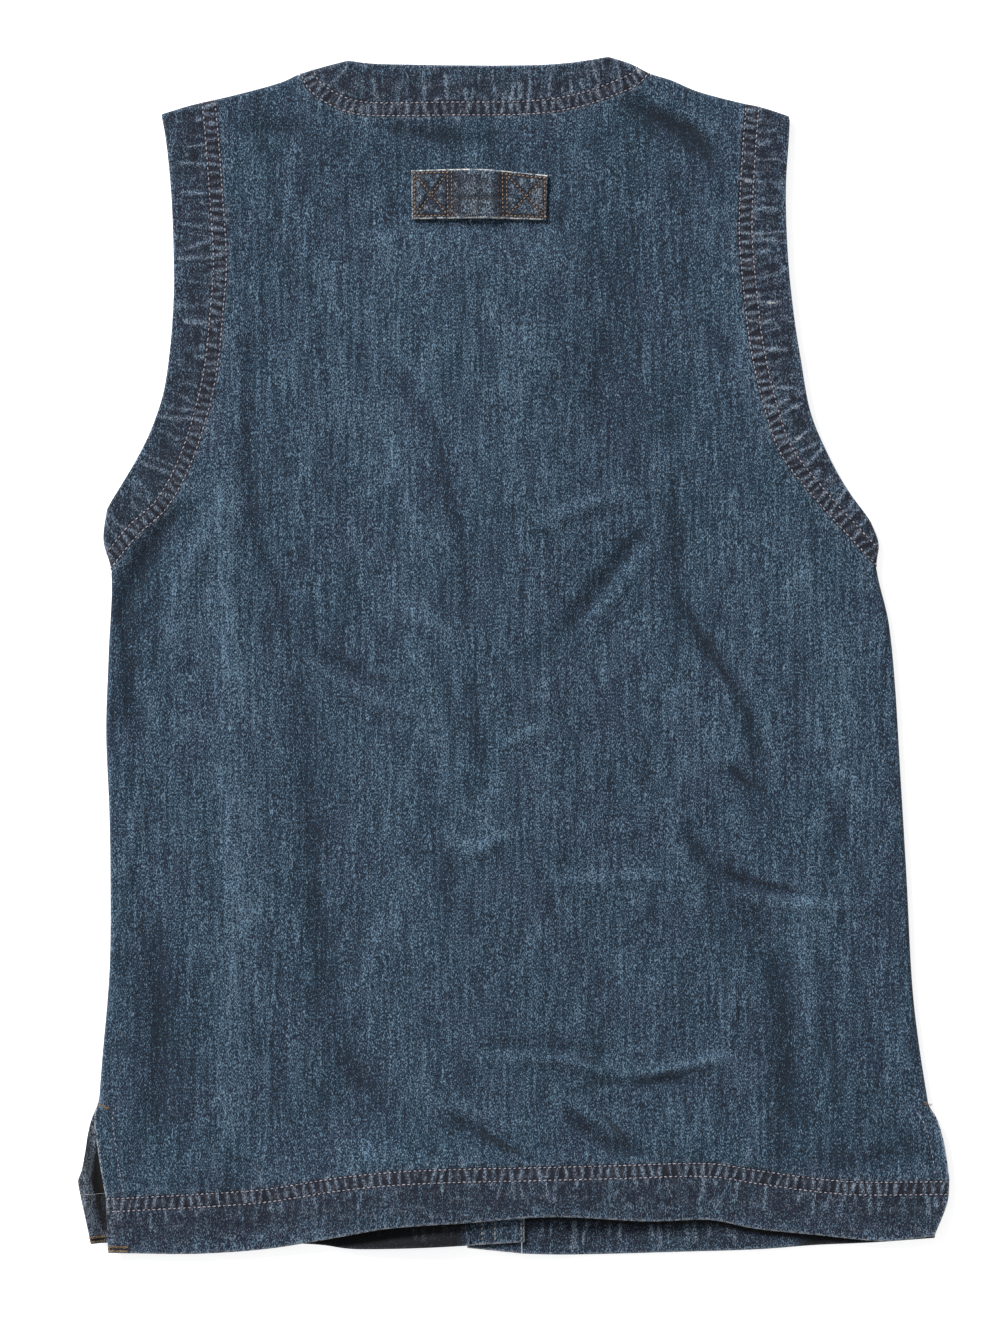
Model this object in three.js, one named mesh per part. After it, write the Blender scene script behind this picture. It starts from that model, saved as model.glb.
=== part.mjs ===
// A sleeveless denim vest, laid face down on a table with its back up.
// Millimetres. X runs to the wearer's right, Y up the garment, Z up from the table.
// The origin is the middle of the garment's outline, on the table.
import * as THREE from 'three';

// Cloth thicknesses and gaps
const CLOTH = 1.2;
const BAND = 2.2;
const SEAM_GAP = 0.3;
const FOLD_CLEARANCE = 0.25;

// The folds at the sides and shoulders, where the back turns over to the front
const FOLD_HEIGHT = 6;
const FOLD_REACH = 3;
const FOLD_FADE = 14;

// The back between the folds: how high its outer side lies
const RESTING_HEIGHT = 5.1;
const OVER_PLACKET_HEIGHT = 9.4;
const SETTLING_LENGTH = 38;
const CREASE_LENGTH = SETTLING_LENGTH / 3;
const LEAST_HEIGHT = 3.1;
const LEAST_PLACKET_RISE = 5.9;

// How the closing lifts the back and the fronts beside it, measured from the centre line
const BACK_LIFT_FULL = 26;
const BACK_LIFT_END = 82;
const BACK_LIFT_OVERRUN = 30;
const LEFT_LEVEL_START = -80;
const LEFT_LEVEL_FULL = -36;
const RIGHT_LEVEL_FULL = 28;
const RIGHT_LEVEL_END = 64;
const LEVEL_FADE_START = 4;
const LEVEL_FADE_END = 8;

// The front closing
const PLACKET_WIDTH = 34;
const PLACKET_TOP = 240;
const PLACKET_V_DROP = 24;
const LEFT_PLACKET_EDGE = 18;
const RIGHT_PLACKET_EDGE = -18;
const CENTRE_AT_HEM = -11.5;
const CENTRE_LEAN = -0.015;
const HEM_Y = -374;
const BUTTON_COUNT = 6;
const BUTTON_RADIUS = 9;
const BUTTON_THICKNESS = 2.2;
const BUTTON_RIM = 0.6;
const BUTTON_FACETS = 20;
const TOP_BUTTON_Y = 196;
const BUTTON_PITCH = 103;

// The edge bands and the loop on the back
const HEM_DEPTH = 33;
const FRONT_SCOOP = 9;
const TAB_RISE = 1.2;
const TAB_FLAT_END = 24;
const TAB_BOW = 14;
const TAB_CLEARANCE = 0.45;
const TAB_TOP = [[-64.5, 303.2], [-21, 303.8], [20.8, 300.1]];
const TAB_BOTTOM = [[-64.1, 272.6], [-20, 273], [19.6, 272.1]];

// Where the side slits end
const LEFT_SLIT_TOP = -279;
const RIGHT_SLIT_TOP = -281.5;

// Outlines as the garment lies, columns x and y
const NECK_EDGE = [
  [-103.5, 372.5], [-90, 370.5], [-62, 369.5], [-10, 369], [24, 369.8], [44, 372], [58, 374.9],
];
const NECK_SEAM = [
  [-134.7, 363.7], [-129.5, 354], [-120, 346], [-107, 339.8], [-93, 337], [-40, 337],
  [12, 337.8], [38, 341.5], [61, 348.8], [78, 356.5], [85.3, 364],
];
const LEFT_SHOULDER = [
  [-221, 338.7], [-202, 344.4], [-176, 350.4], [-145, 359], [-134.7, 363.7], [-120, 368.2], [-103.5, 372.5],
];
const RIGHT_SHOULDER = [
  [172.2, 337.3], [155, 342.9], [140.3, 346.1], [113.4, 353.4], [97.8, 360.1], [85.3, 364],
  [72, 370.5], [58, 374.9],
];
const LEFT_SIDE = [
  [-260, LEFT_SLIT_TOP], [-258, -253], [-253.4, -197], [-252.8, -147], [-253.5, -98], [-255.5, -48],
  [-254, 0], [-252.4, 53], [-257.2, 72], [-255, 92],
];
const RIGHT_SIDE = [
  [259, RIGHT_SLIT_TOP], [252.8, -241.5], [249, -208], [245.3, -139], [241.6, -77], [237.5, -11],
  [233.8, 22.3], [226.5, 55], [227.8, 70], [222.8, 84],
];
const LEFT_ARMHOLE_EDGE = [
  [-255, 92], [-245.9, 106.6], [-235.9, 123.5], [-227.4, 141], [-219.9, 163], [-215.6, 190.4],
  [-213.1, 225.4], [-213.1, 244], [-214.7, 289], [-218.4, 325], [-221, 338.7],
];
const LEFT_ARMHOLE_SEAM = [
  [-252.4, 53], [-235, 74.4], [-217.8, 90.4], [-204.7, 112.3], [-194.1, 140.4], [-185.3, 176.6],
  [-180.9, 219], [-179.1, 244], [-181.6, 289], [-184.7, 330], [-186.5, 347.9],
];
const RIGHT_ARMHOLE_EDGE = [
  [222.8, 84], [207.2, 105.4], [195.9, 126], [185.3, 151.6], [179.1, 184.8], [174.7, 213],
  [170.9, 251], [169.7, 293.5], [171.6, 323.5], [172.2, 337.3],
];
const RIGHT_ARMHOLE_SEAM = [
  [226.5, 55], [207.2, 75.4], [186.6, 98.5], [165.6, 126], [154.1, 159.8], [146.6, 194],
  [142.8, 225.4], [139.7, 264], [140.9, 301], [144, 345.2],
];
const LEFT_BACK_SLIT = [[-255.5, -339], [-260.2, -311], [-262.6, -286], [-260, LEFT_SLIT_TOP]];
const RIGHT_BACK_SLIT = [[272, -328], [268.4, -304], [263.4, -288], [259, RIGHT_SLIT_TOP]];
const LEFT_FRONT_SLIT = [[-271, -337], [-272, -326], [-266, -291.5], [-260, LEFT_SLIT_TOP]];
const RIGHT_FRONT_SLIT = [[268, -333], [266, -305], [262, -288], [259, RIGHT_SLIT_TOP]];
const BACK_HEM_SEAM = [
  [-255.5, -339], [-198, -336], [-157, -333], [-109, -325.3], [-66, -321], [5, -319], [65, -317.8],
  [123, -316.8], [155, -321.5], [206, -327.8], [272, -328],
];
const BACK_HEM_EDGE = [
  [-254, -373.5], [-198, -374], [-153, -370.7], [-116, -364.4], [-79, -357.6], [-24, -353.7],
  [23, -350.4], [83, -353.4], [123, -352.8], [149, -358], [187, -362], [232, -366], [262.5, -363],
];
const BACK_HEM_RIGHT_CORNER = [[262.5, -363], [270.9, -341]];
const LEFT_PLACKET_FOOT_Y = -366.5;
const RIGHT_PLACKET_FOOT_Y = -370.5;
const LEFT_FRONT_HEM = [
  [-264.7, -367.8], [-200, -366.5], [-123, -368.7], [-102, -371], [-48, -369.6], [0, -367],
];
const RIGHT_FRONT_HEM = [
  [-10, -373.5], [35, -374.8], [103, -373.2], [155, -371.5], [187, -369], [225, -367.3], [263, -364.5],
];
const LEFT_FRONT_NECK_SEAM = [[-134.7, 363.7], [-120, 330], [-95, 285], [-62, 238], [-36, 206]];
const LEFT_FRONT_NECK_EDGE = [[-103.5, 372.5], [-92, 338], [-70, 296], [-36.3, 240]];
const RIGHT_FRONT_NECK_SEAM = [[85.3, 364], [70, 330], [45, 285], [18, 238], [-4, 206]];
const RIGHT_FRONT_NECK_EDGE = [[58, 374.9], [48, 340], [26, 296], [-4.6, 240]];

// The creases of the back: a soft ridge, or a trough where the height is negative,
// along the line from x0, y0 to x1, y1; width is half the crease's breadth
const CREASES = [
  { x0: 78, y0: 72, x1: 33, y1: 16, width: 13, height: -2 },
  { x0: 19, y0: 82, x1: 72, y1: 100, width: 12, height: 1.6 },
  { x0: 100, y0: 104, x1: 103, y1: 38, width: 12, height: -1.4 },
  { x0: 103, y0: 38, x1: 141, y1: -22, width: 12, height: -1.8 },
  { x0: 141, y0: -22, x1: 153, y1: -62, width: 11, height: -1.8 },
  { x0: 122, y0: 20, x1: 162, y1: -46, width: 12, height: 1.8 },
  { x0: 134, y0: -70, x1: 152, y1: -85, width: 9, height: -1.8 },
  { x0: 110, y0: -112, x1: 127, y1: -145, width: 11, height: -1.8 },
  { x0: 132, y0: -137, x1: 178, y1: -151, width: 10, height: -1.8 },
  { x0: 141, y0: -158, x1: 222, y1: -164, width: 11, height: 1.8 },
  { x0: 25, y0: -143, x1: 111, y1: -141, width: 12, height: 1.3 },
  { x0: 153, y0: -168, x1: 172, y1: -300, width: 16, height: -1.3 },
  { x0: 184, y0: -170, x1: 192, y1: -250, width: 15, height: 1.2 },
  { x0: -75, y0: 175, x1: -53, y1: 141, width: 12, height: -1.2 },
  { x0: -53, y0: 141, x1: -29, y1: 35, width: 14, height: -1 },
  { x0: -88, y0: 150, x1: -60, y1: 60, width: 16, height: 1.4 },
  { x0: -34, y0: -37, x1: -17, y1: -68, width: 11, height: -0.9 },
  { x0: -9, y0: -56, x1: 16, y1: -46, width: 11, height: 1.3 },
  { x0: -47, y0: -109, x1: -3, y1: -116, width: 12, height: 1.5 },
  { x0: -58, y0: -84, x1: -48, y1: -153, width: 12, height: -1.3 },
  { x0: -214, y0: 80, x1: -242, y1: 28, width: 14, height: -1.8 },
  { x0: -188, y0: 84, x1: -206, y1: 14, width: 14, height: 1.6 },
  { x0: -184, y0: 140, x1: -176, y1: -296, width: 20, height: 1.2 },
  { x0: -163, y0: 190, x1: -140, y1: 28, width: 16, height: -1.1 },
  { x0: -134, y0: -15, x1: -115, y1: -215, width: 17, height: -1.2 },
  { x0: -125, y0: 4, x1: -65, y1: -22, width: 11, height: -1.4 },
  { x0: -118, y0: -18, x1: -66, y1: -42, width: 12, height: 1.1 },
  { x0: -222, y0: -184, x1: -222, y1: -296, width: 14, height: -1.3 },
  { x0: -235, y0: -103, x1: -243, y1: -135, width: 9, height: 1 },
  { x0: -78, y0: 316, x1: -15, y1: 312, width: 12, height: -1.2 },
  { x0: 84, y0: 332, x1: 122, y1: 306, width: 12, height: -1.5 },
  { x0: -15, y0: -250, x1: 66, y1: -261, width: 10, height: 1.7 },
  { x0: 66, y0: -261, x1: 160, y1: -258, width: 11, height: 1.5 },
  { x0: 78, y0: -277, x1: 112, y1: -274, width: 9, height: -1.4 },
  { x0: -43, y0: -289, x1: 17, y1: -310, width: 9, height: -1.5 },
  { x0: 35, y0: -289, x1: 62, y1: -303, width: 9, height: -2 },
  { x0: -115, y0: -246, x1: -78, y1: -284, width: 12, height: -1.3 },
  { x0: 70, y0: 262, x1: 60, y1: 150, width: 24, height: 1.2 },
];

// Where the back's hem stands off the front's, columns as their names say
const HEM_LIFTS = [
  { centre: -78, reach: 46, height: 6.5 },
  { centre: 60, reach: 75, height: 3.5 },
];
const HEM_LIFT_START = -280;
const HEM_LIFT_FULL = -350;

// How far the front's free edges curl up where they show past the back
const SLIT_CURL = 5.5;
const HEM_CURL = 4.5;
const CURL_START = 2;
const CURL_LENGTH = 9;
const HEM_CURL_CENTRE = -85;
const HEM_CURL_REACH = 45;

// A line through outline points: a smooth curve, kept as closely spaced points
const POINTS_PER_SPAN = 12;

function smoothLine(rows) {
  const corners = rows.map(([x, y]) => new THREE.Vector3(x, y, 0));
  const curve = new THREE.CatmullRomCurve3(corners, false, 'centripetal');
  return curve.getPoints(POINTS_PER_SPAN * (rows.length - 1)).map((p) => new THREE.Vector2(p.x, p.y));
}

function lengthsAlong(line) {
  const lengths = [0];
  for (let k = 1; k < line.length; k += 1) {
    lengths.push(lengths[k - 1] + line[k].distanceTo(line[k - 1]));
  }
  return lengths;
}

function pointAt(line, distance) {
  const lengths = lengthsAlong(line);
  let k = 1;
  while (k < line.length - 1 && lengths[k] < distance) {
    k += 1;
  }
  const share = (distance - lengths[k - 1]) / (lengths[k] - lengths[k - 1]);
  return line[k - 1].clone().lerp(line[k], THREE.MathUtils.clamp(share, 0, 1));
}

// The value of one coordinate of a line where the other has the given value
function valueOn(line, known, value, wanted) {
  const rising = line[line.length - 1][known] > line[0][known];
  const ordered = rising ? line : [...line].reverse();
  let k = 1;
  while (k < ordered.length - 1 && ordered[k][known] < value) {
    k += 1;
  }
  const share = (value - ordered[k - 1][known]) / (ordered[k][known] - ordered[k - 1][known]);
  return THREE.MathUtils.lerp(ordered[k - 1][wanted], ordered[k][wanted], THREE.MathUtils.clamp(share, 0, 1));
}

const END_SPACING = 0.5;

// The stretch of a line between two values of one coordinate, in the order they are given,
// without the points that lie closer to its ends than the end spacing
function stretch(line, known, from, to) {
  const wanted = known === 'x' ? 'y' : 'x';
  const end = (value) => {
    const point = new THREE.Vector2();
    point[known] = value;
    point[wanted] = valueOn(line, known, value, wanted);
    return point;
  };
  const low = Math.min(from, to);
  const high = Math.max(from, to);
  const inside = line.filter((p) => p[known] > low + END_SPACING && p[known] < high - END_SPACING);
  if (inside.length > 1 && (inside[1][known] > inside[0][known]) !== (to > from)) {
    inside.reverse();
  }
  return [end(from), ...inside, end(to)];
}

// Stations along a line: even steps, with closer ones where an end turns over a fold
const FOLD_STATIONS = [0, 0.134, 0.5];

function stations(line, steps, startReach = 0, endReach = 0) {
  const total = lengthsAlong(line).at(-1);
  const distances = [];
  if (startReach > 0) {
    FOLD_STATIONS.forEach((share) => distances.push(share * startReach));
  }
  for (let k = 0; k <= steps; k += 1) {
    distances.push(THREE.MathUtils.lerp(startReach, total - endReach, k / steps));
  }
  if (endReach > 0) {
    [...FOLD_STATIONS].reverse().forEach((share) => distances.push(total - share * endReach));
  }
  return distances.map((distance) => pointAt(line, distance));
}

function shares(points) {
  const lengths = lengthsAlong(points);
  return lengths.map((length) => length / lengths.at(-1));
}

// Points on a line that divide it as another row of points divides its own
function matching(line, reference) {
  const total = lengthsAlong(line).at(-1);
  return shares(reference).map((share) => pointAt(line, share * total));
}

function joined(...rows) {
  return rows.flatMap((row, k) => (k === 0 ? row : row.slice(1)));
}

const LEAST_SQUARENESS = 0.5;

// Points of a row moved toward another row until they clear the row's own line by the seam gap,
// and by a little more where the seam turns over a fold
function movedToward(points, targets) {
  return points.map((point, k) => {
    const before = points[Math.max(0, k - 1)];
    const after = points[Math.min(points.length - 1, k + 1)];
    const along = after.clone().sub(before).normalize();
    const step = targets[k].clone().sub(point).normalize();
    const squareness = Math.max(LEAST_SQUARENESS, Math.abs(along.cross(step)));
    const clearance = SEAM_GAP + FOLD_CLEARANCE * Math.cos(turn(point.x, point.y).angle);
    return point.clone().addScaledVector(step, clearance / squareness);
  });
}

// A net of plan points between four edges, bottom and top from left to right,
// left and right from bottom to top
function netBetween(bottom, right, top, left) {
  const acrossBottom = shares(bottom);
  const acrossTop = shares(top);
  const upLeft = shares(left);
  const upRight = shares(right);
  return left.map((leftPoint, row) => {
    const v = (upLeft[row] + upRight[row]) / 2;
    return bottom.map((bottomPoint, column) => {
      const u = THREE.MathUtils.lerp(acrossBottom[column], acrossTop[column], v);
      const point = new THREE.Vector2();
      point.addScaledVector(leftPoint, 1 - u);
      point.addScaledVector(right[row], u);
      point.addScaledVector(bottomPoint, 1 - v);
      point.addScaledVector(top[column], v);
      point.addScaledVector(bottom[0], -(1 - u) * (1 - v));
      point.addScaledVector(bottom.at(-1), -u * (1 - v));
      point.addScaledVector(top[0], -(1 - u) * v);
      point.addScaledVector(top.at(-1), -u * v);
      return point;
    });
  });
}

// A closed wall of cloth over a net: face(x, y) gives the outer side's point and normal
function clothWall(net, thickness, face) {
  const rows = net.length;
  const columns = net[0].length;
  const outer = [];
  const inner = [];
  net.flat().forEach(({ x, y }) => {
    const { point, normal } = face(x, y);
    outer.push(point);
    inner.push(point.clone().addScaledVector(normal, -thickness));
  });
  const count = rows * columns;
  const at = (row, column) => row * columns + column;
  const triangles = [];
  const quad = (a, b, c, d) => triangles.push(a, b, c, a, c, d);
  for (let row = 0; row < rows - 1; row += 1) {
    for (let column = 0; column < columns - 1; column += 1) {
      const a = at(row, column);
      const b = at(row, column + 1);
      const c = at(row + 1, column + 1);
      const d = at(row + 1, column);
      quad(a, b, c, d);
      quad(count + d, count + c, count + b, count + a);
    }
  }
  for (let column = 0; column < columns - 1; column += 1) {
    quad(at(0, column + 1), at(0, column), count + at(0, column), count + at(0, column + 1));
    const row = rows - 1;
    quad(at(row, column), at(row, column + 1), count + at(row, column + 1), count + at(row, column));
  }
  for (let row = 0; row < rows - 1; row += 1) {
    quad(at(row, 0), at(row + 1, 0), count + at(row + 1, 0), count + at(row, 0));
    const column = columns - 1;
    quad(at(row + 1, column), at(row, column), count + at(row, column), count + at(row + 1, column));
  }
  return solidFrom([...outer, ...inner], triangles);
}

// Faces are turned outwards by the sign of the enclosed volume
function solidFrom(points, triangles) {
  let volume = 0;
  for (let k = 0; k < triangles.length; k += 3) {
    const [a, b, c] = [points[triangles[k]], points[triangles[k + 1]], points[triangles[k + 2]]];
    volume += a.dot(new THREE.Vector3().crossVectors(b, c));
  }
  if (volume < 0) {
    for (let k = 0; k < triangles.length; k += 3) {
      [triangles[k], triangles[k + 1]] = [triangles[k + 1], triangles[k]];
    }
  }
  const geometry = new THREE.BufferGeometry();
  geometry.setAttribute('position', new THREE.Float32BufferAttribute(points.flatMap((p) => p.toArray()), 3));
  geometry.setIndex(triangles);
  return geometry;
}

function rise(value, from, to) {
  const share = THREE.MathUtils.clamp((value - from) / (to - from), 0, 1);
  return share * share * (3 - 2 * share);
}

function bump(distance, reach) {
  return Math.exp(-((distance / reach) ** 2));
}

// The four folds of the outline
const leftSide = smoothLine(LEFT_SIDE);
const rightSide = smoothLine(RIGHT_SIDE);
const leftShoulder = smoothLine(LEFT_SHOULDER);
const rightShoulder = smoothLine(RIGHT_SHOULDER);
const FOLD_SNAP = 0.05;
const UNDERARM_REACH = 6;

function sideStrength(y, slitTop, underarm) {
  if (y >= underarm + UNDERARM_REACH) {
    return 0;
  }
  return rise(y, slitTop - FOLD_FADE, slitTop);
}

function folds(x, y) {
  const left = {
    inward: x - valueOn(leftSide, 'y', y, 'x'),
    strength: sideStrength(y, LEFT_SLIT_TOP, LEFT_SIDE.at(-1)[1]),
    outward: new THREE.Vector2(-1, 0),
  };
  const right = {
    inward: valueOn(rightSide, 'y', y, 'x') - x,
    strength: sideStrength(y, RIGHT_SLIT_TOP, RIGHT_SIDE.at(-1)[1]),
    outward: new THREE.Vector2(1, 0),
  };
  const shoulder = x < CENTRE_AT_HEM ? leftShoulder : rightShoulder;
  const slope = new THREE.Vector2().subVectors(shoulder.at(-1), shoulder[0]).normalize();
  const across = new THREE.Vector2(-slope.y, slope.x);
  if (across.y < 0) {
    across.negate();
  }
  const top = {
    inward: (valueOn(shoulder, 'x', x, 'y') - y) * across.y,
    strength: 1,
    outward: across,
  };
  return [left, right, top];
}

// How far the cloth has turned over a fold: 0 at the outline, a right angle where it lies flat
function turn(x, y) {
  const nearest = folds(x, y)
    .filter((fold) => fold.strength > 0 && fold.inward < FOLD_REACH)
    .sort((a, b) => a.inward - b.inward)[0];
  if (!nearest) {
    return { angle: Math.PI / 2, outward: new THREE.Vector2(0, 0) };
  }
  const inward = nearest.inward < FOLD_SNAP ? 0 : nearest.inward;
  const folded = Math.acos(THREE.MathUtils.clamp(1 - inward / FOLD_REACH, 0, 1));
  return { angle: THREE.MathUtils.lerp(Math.PI / 2, folded, nearest.strength), outward: nearest.outward };
}

// Distance from the nearest edge of the back that lies at the folds' height
const leftSeam = smoothLine(LEFT_ARMHOLE_SEAM);
const rightSeam = smoothLine(RIGHT_ARMHOLE_SEAM);
const neckSeam = smoothLine(NECK_SEAM);
const hemSeam = smoothLine(BACK_HEM_SEAM);
const backHem = smoothLine(BACK_HEM_EDGE);
const leftBackSlit = smoothLine(LEFT_BACK_SLIT);
const leftHemEnd = [new THREE.Vector2(...BACK_HEM_EDGE[0]), new THREE.Vector2(...LEFT_BACK_SLIT[0])];
const leftFreeEdge = joined(leftHemEnd, leftBackSlit);

function fromEdges(x, y) {
  const leftLine = y < LEFT_ARMHOLE_SEAM[0][1] ? leftSide : leftSeam;
  const rightLine = y < RIGHT_ARMHOLE_SEAM[0][1] ? rightSide : rightSeam;
  const sides = Math.min(x - valueOn(leftLine, 'y', y, 'x'), valueOn(rightLine, 'y', y, 'x') - x);
  const top = valueOn(neckSeam, 'x', x, 'y') - y;
  const bottom = y - valueOn(hemSeam, 'x', x, 'y');
  return Math.max(0, Math.min(sides, top, bottom));
}

function centreLine(y) {
  return CENTRE_AT_HEM + CENTRE_LEAN * (y - HEM_Y);
}

// How much the doubled front closing lifts the back that lies over it
function overPlacket(x, y) {
  const beside = rise(Math.abs(x - centreLine(y)), BACK_LIFT_FULL, BACK_LIFT_END);
  const above = rise(y, PLACKET_TOP - 2, PLACKET_TOP + BACK_LIFT_OVERRUN);
  return (1 - beside) * (1 - above);
}

function creaseHeight(x, y) {
  let height = 0;
  CREASES.forEach((crease) => {
    const run = new THREE.Vector2(crease.x1 - crease.x0, crease.y1 - crease.y0);
    const offset = new THREE.Vector2(x - crease.x0, y - crease.y0);
    const share = THREE.MathUtils.clamp(offset.dot(run) / run.lengthSq(), 0, 1);
    const distance = offset.addScaledVector(run, -share).length();
    height += crease.height * bump(distance, crease.width);
  });
  return height;
}

function hemLift(x, y) {
  const low = 1 - rise(y, HEM_LIFT_FULL, HEM_LIFT_START);
  let height = 0;
  HEM_LIFTS.forEach((lift) => {
    height += lift.height * low * bump(x - lift.centre, lift.reach);
  });
  return height;
}

// The lowest that the back's outer side may lie over what is under it
function clearHeight(x, y) {
  return LEAST_HEIGHT + LEAST_PLACKET_RISE * overPlacket(x, y);
}

function backHeight(x, y) {
  const settled = rise(fromEdges(x, y), 0, SETTLING_LENGTH);
  const resting = THREE.MathUtils.lerp(FOLD_HEIGHT, RESTING_HEIGHT, settled);
  const raised = THREE.MathUtils.lerp(resting, OVER_PLACKET_HEIGHT, overPlacket(x, y));
  const creased = raised + creaseHeight(x, y) * rise(fromEdges(x, y), 0, CREASE_LENGTH);
  return Math.max(creased, clearHeight(x, y)) + hemLift(x, y);
}

const FOLD_MIDDLE = FOLD_HEIGHT / 2;

function backFace(x, y) {
  const { angle, outward } = turn(x, y);
  const start = FOLD_MIDDLE + SEAM_GAP / 2;
  const z = THREE.MathUtils.lerp(start, backHeight(x, y), Math.sin(angle));
  const sideways = outward.clone().multiplyScalar(Math.cos(angle));
  const normal = new THREE.Vector3(sideways.x, sideways.y, Math.sin(angle));
  return { point: new THREE.Vector3(x, y, z), normal: normal.normalize() };
}

// The front's outer side lies on the table, apart from its closing and its curled free edges
function curl(x, y) {
  const pastHem = valueOn(backHem, 'x', x, 'y') - CURL_START - y;
  const hem = HEM_CURL * rise(pastHem, 0, CURL_LENGTH) * bump(x - HEM_CURL_CENTRE, HEM_CURL_REACH);
  if (x > CENTRE_AT_HEM || y > LEFT_SLIT_TOP) {
    return hem;
  }
  const pastSlit = valueOn(leftFreeEdge, 'y', y, 'x') - CURL_START - x;
  return Math.max(hem, SLIT_CURL * rise(pastSlit, 0, CURL_LENGTH));
}

const RIGHT_PLACKET_LEVEL = BUTTON_THICKNESS + SEAM_GAP;
const LEFT_PLACKET_LEVEL = RIGHT_PLACKET_LEVEL + BAND + SEAM_GAP;

// Above its top the closing no longer lifts the neckline
function closingReach(y) {
  return 1 - rise(y, PLACKET_TOP - PLACKET_V_DROP + LEVEL_FADE_START, PLACKET_TOP + LEVEL_FADE_END);
}

function leftFrontLevel(x, y) {
  const lifted = rise(x - centreLine(y), LEFT_LEVEL_START, LEFT_LEVEL_FULL);
  return LEFT_PLACKET_LEVEL * lifted * closingReach(y);
}

function rightFrontLevel(x, y) {
  const lowered = rise(x - centreLine(y), RIGHT_LEVEL_FULL, RIGHT_LEVEL_END);
  return RIGHT_PLACKET_LEVEL * (1 - lowered) * closingReach(y);
}

function frontFace(level) {
  return (x, y) => {
    const { angle, outward } = turn(x, y);
    const folded = (FOLD_MIDDLE - SEAM_GAP / 2) * (1 - Math.sin(angle));
    const z = folded + level(x, y) + curl(x, y);
    const sideways = outward.clone().multiplyScalar(Math.cos(angle));
    const normal = new THREE.Vector3(sideways.x, sideways.y, -Math.sin(angle));
    return { point: new THREE.Vector3(x, y, z), normal: normal.normalize() };
  };
}

// Materials
function cottonMaterial(color) {
  return new THREE.MeshStandardMaterial({ color, roughness: 0.9, metalness: 0 });
}

const denim = () => cottonMaterial('#3f4e5d');
const bandDenim = () => cottonMaterial('#3a4451');
const innerDenim = () => cottonMaterial('#2f3844');

function buttonMetal() {
  return new THREE.MeshStandardMaterial({ color: '#8b8378', roughness: 0.45, metalness: 0.9 });
}

const group = new THREE.Group();

function addPiece(name, geometry, material) {
  const mesh = new THREE.Mesh(geometry, material);
  mesh.name = name;
  group.add(mesh);
  return mesh;
}

// The seams that two pieces share, at the same stations for both
const SIDE_ROWS = 20;
const SLIT_ROWS = 4;
const ARMHOLE_ROWS = 14;
const NECK_COLUMNS = 14;
const SHOULDER_COLUMNS = 4;
const BAND_COLUMNS = 3;
const TIP_REACH = 6.5;
const UNDERARM_SEAM_REACH = FOLD_REACH * 1.4;
const UNDERARM_EDGE_REACH = FOLD_REACH * 1.2;

const leftArmholeStations = stations(leftSeam, ARMHOLE_ROWS, UNDERARM_SEAM_REACH, FOLD_REACH);
const rightArmholeStations = stations(rightSeam, ARMHOLE_ROWS, UNDERARM_SEAM_REACH, FOLD_REACH);
const neckStations = stations(neckSeam, NECK_COLUMNS, FOLD_REACH, FOLD_REACH);

function backPanel() {
  const armholeX = { left: LEFT_ARMHOLE_SEAM.at(-1)[0], right: RIGHT_ARMHOLE_SEAM.at(-1)[0] };
  const neckX = { left: NECK_SEAM[0][0], right: NECK_SEAM.at(-1)[0] };
  const top = joined(
    stations(stretch(leftShoulder, 'x', armholeX.left, neckX.left), SHOULDER_COLUMNS, FOLD_REACH),
    neckStations,
    stations(stretch(rightShoulder, 'x', neckX.right, armholeX.right), SHOULDER_COLUMNS, 0, FOLD_REACH),
  );
  const left = joined(
    stations(leftBackSlit, SLIT_ROWS),
    stations(stretch(leftSide, 'y', LEFT_SLIT_TOP, LEFT_ARMHOLE_SEAM[0][1]), SIDE_ROWS),
    leftArmholeStations,
  );
  const right = joined(
    stations(smoothLine(RIGHT_BACK_SLIT), SLIT_ROWS),
    stations(stretch(rightSide, 'y', RIGHT_SLIT_TOP, RIGHT_ARMHOLE_SEAM[0][1]), SIDE_ROWS),
    rightArmholeStations,
  );
  const bottom = matching(hemSeam, top);
  addPiece('back_panel', clothWall(netBetween(bottom, right, top, left), CLOTH, backFace), denim());
  backHemBand(bottom);
}

// A band between its seam, moved off the panel by the seam gap, and its finished edge
function bandNet(seam, edge, startEnd, finishEnd) {
  const inner = movedToward(seam, edge);
  const rowsAcross = startEnd.length;
  const start = [inner[0], ...startEnd.slice(1, rowsAcross - 1), edge[0]];
  const finish = [inner.at(-1), ...finishEnd.slice(1, rowsAcross - 1), edge.at(-1)];
  return netBetween(inner, finish, edge, start);
}

function backArmholeBand(name, seam, edgeRows, side, shoulder) {
  const edge = stations(smoothLine(edgeRows), ARMHOLE_ROWS, UNDERARM_EDGE_REACH, FOLD_REACH);
  const underarm = stations(stretch(side, 'y', seam[0].y, edge[0].y), BAND_COLUMNS);
  const over = stations(stretch(shoulder, 'x', seam.at(-1).x, edge.at(-1).x), BAND_COLUMNS);
  addPiece(name, clothWall(bandNet(seam, edge, underarm, over), BAND, backFace), bandDenim());
}

function backNeckBand() {
  const edge = stations(smoothLine(NECK_EDGE), NECK_COLUMNS, TIP_REACH, TIP_REACH);
  const leftEnd = stations(stretch(leftShoulder, 'x', neckStations[0].x, edge[0].x), BAND_COLUMNS);
  const rightEnd = stations(stretch(rightShoulder, 'x', neckStations.at(-1).x, edge.at(-1).x), BAND_COLUMNS);
  const net = bandNet(neckStations, edge, leftEnd, rightEnd);
  addPiece('neck_band_back', clothWall(net, BAND, backFace), bandDenim());
}

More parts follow.
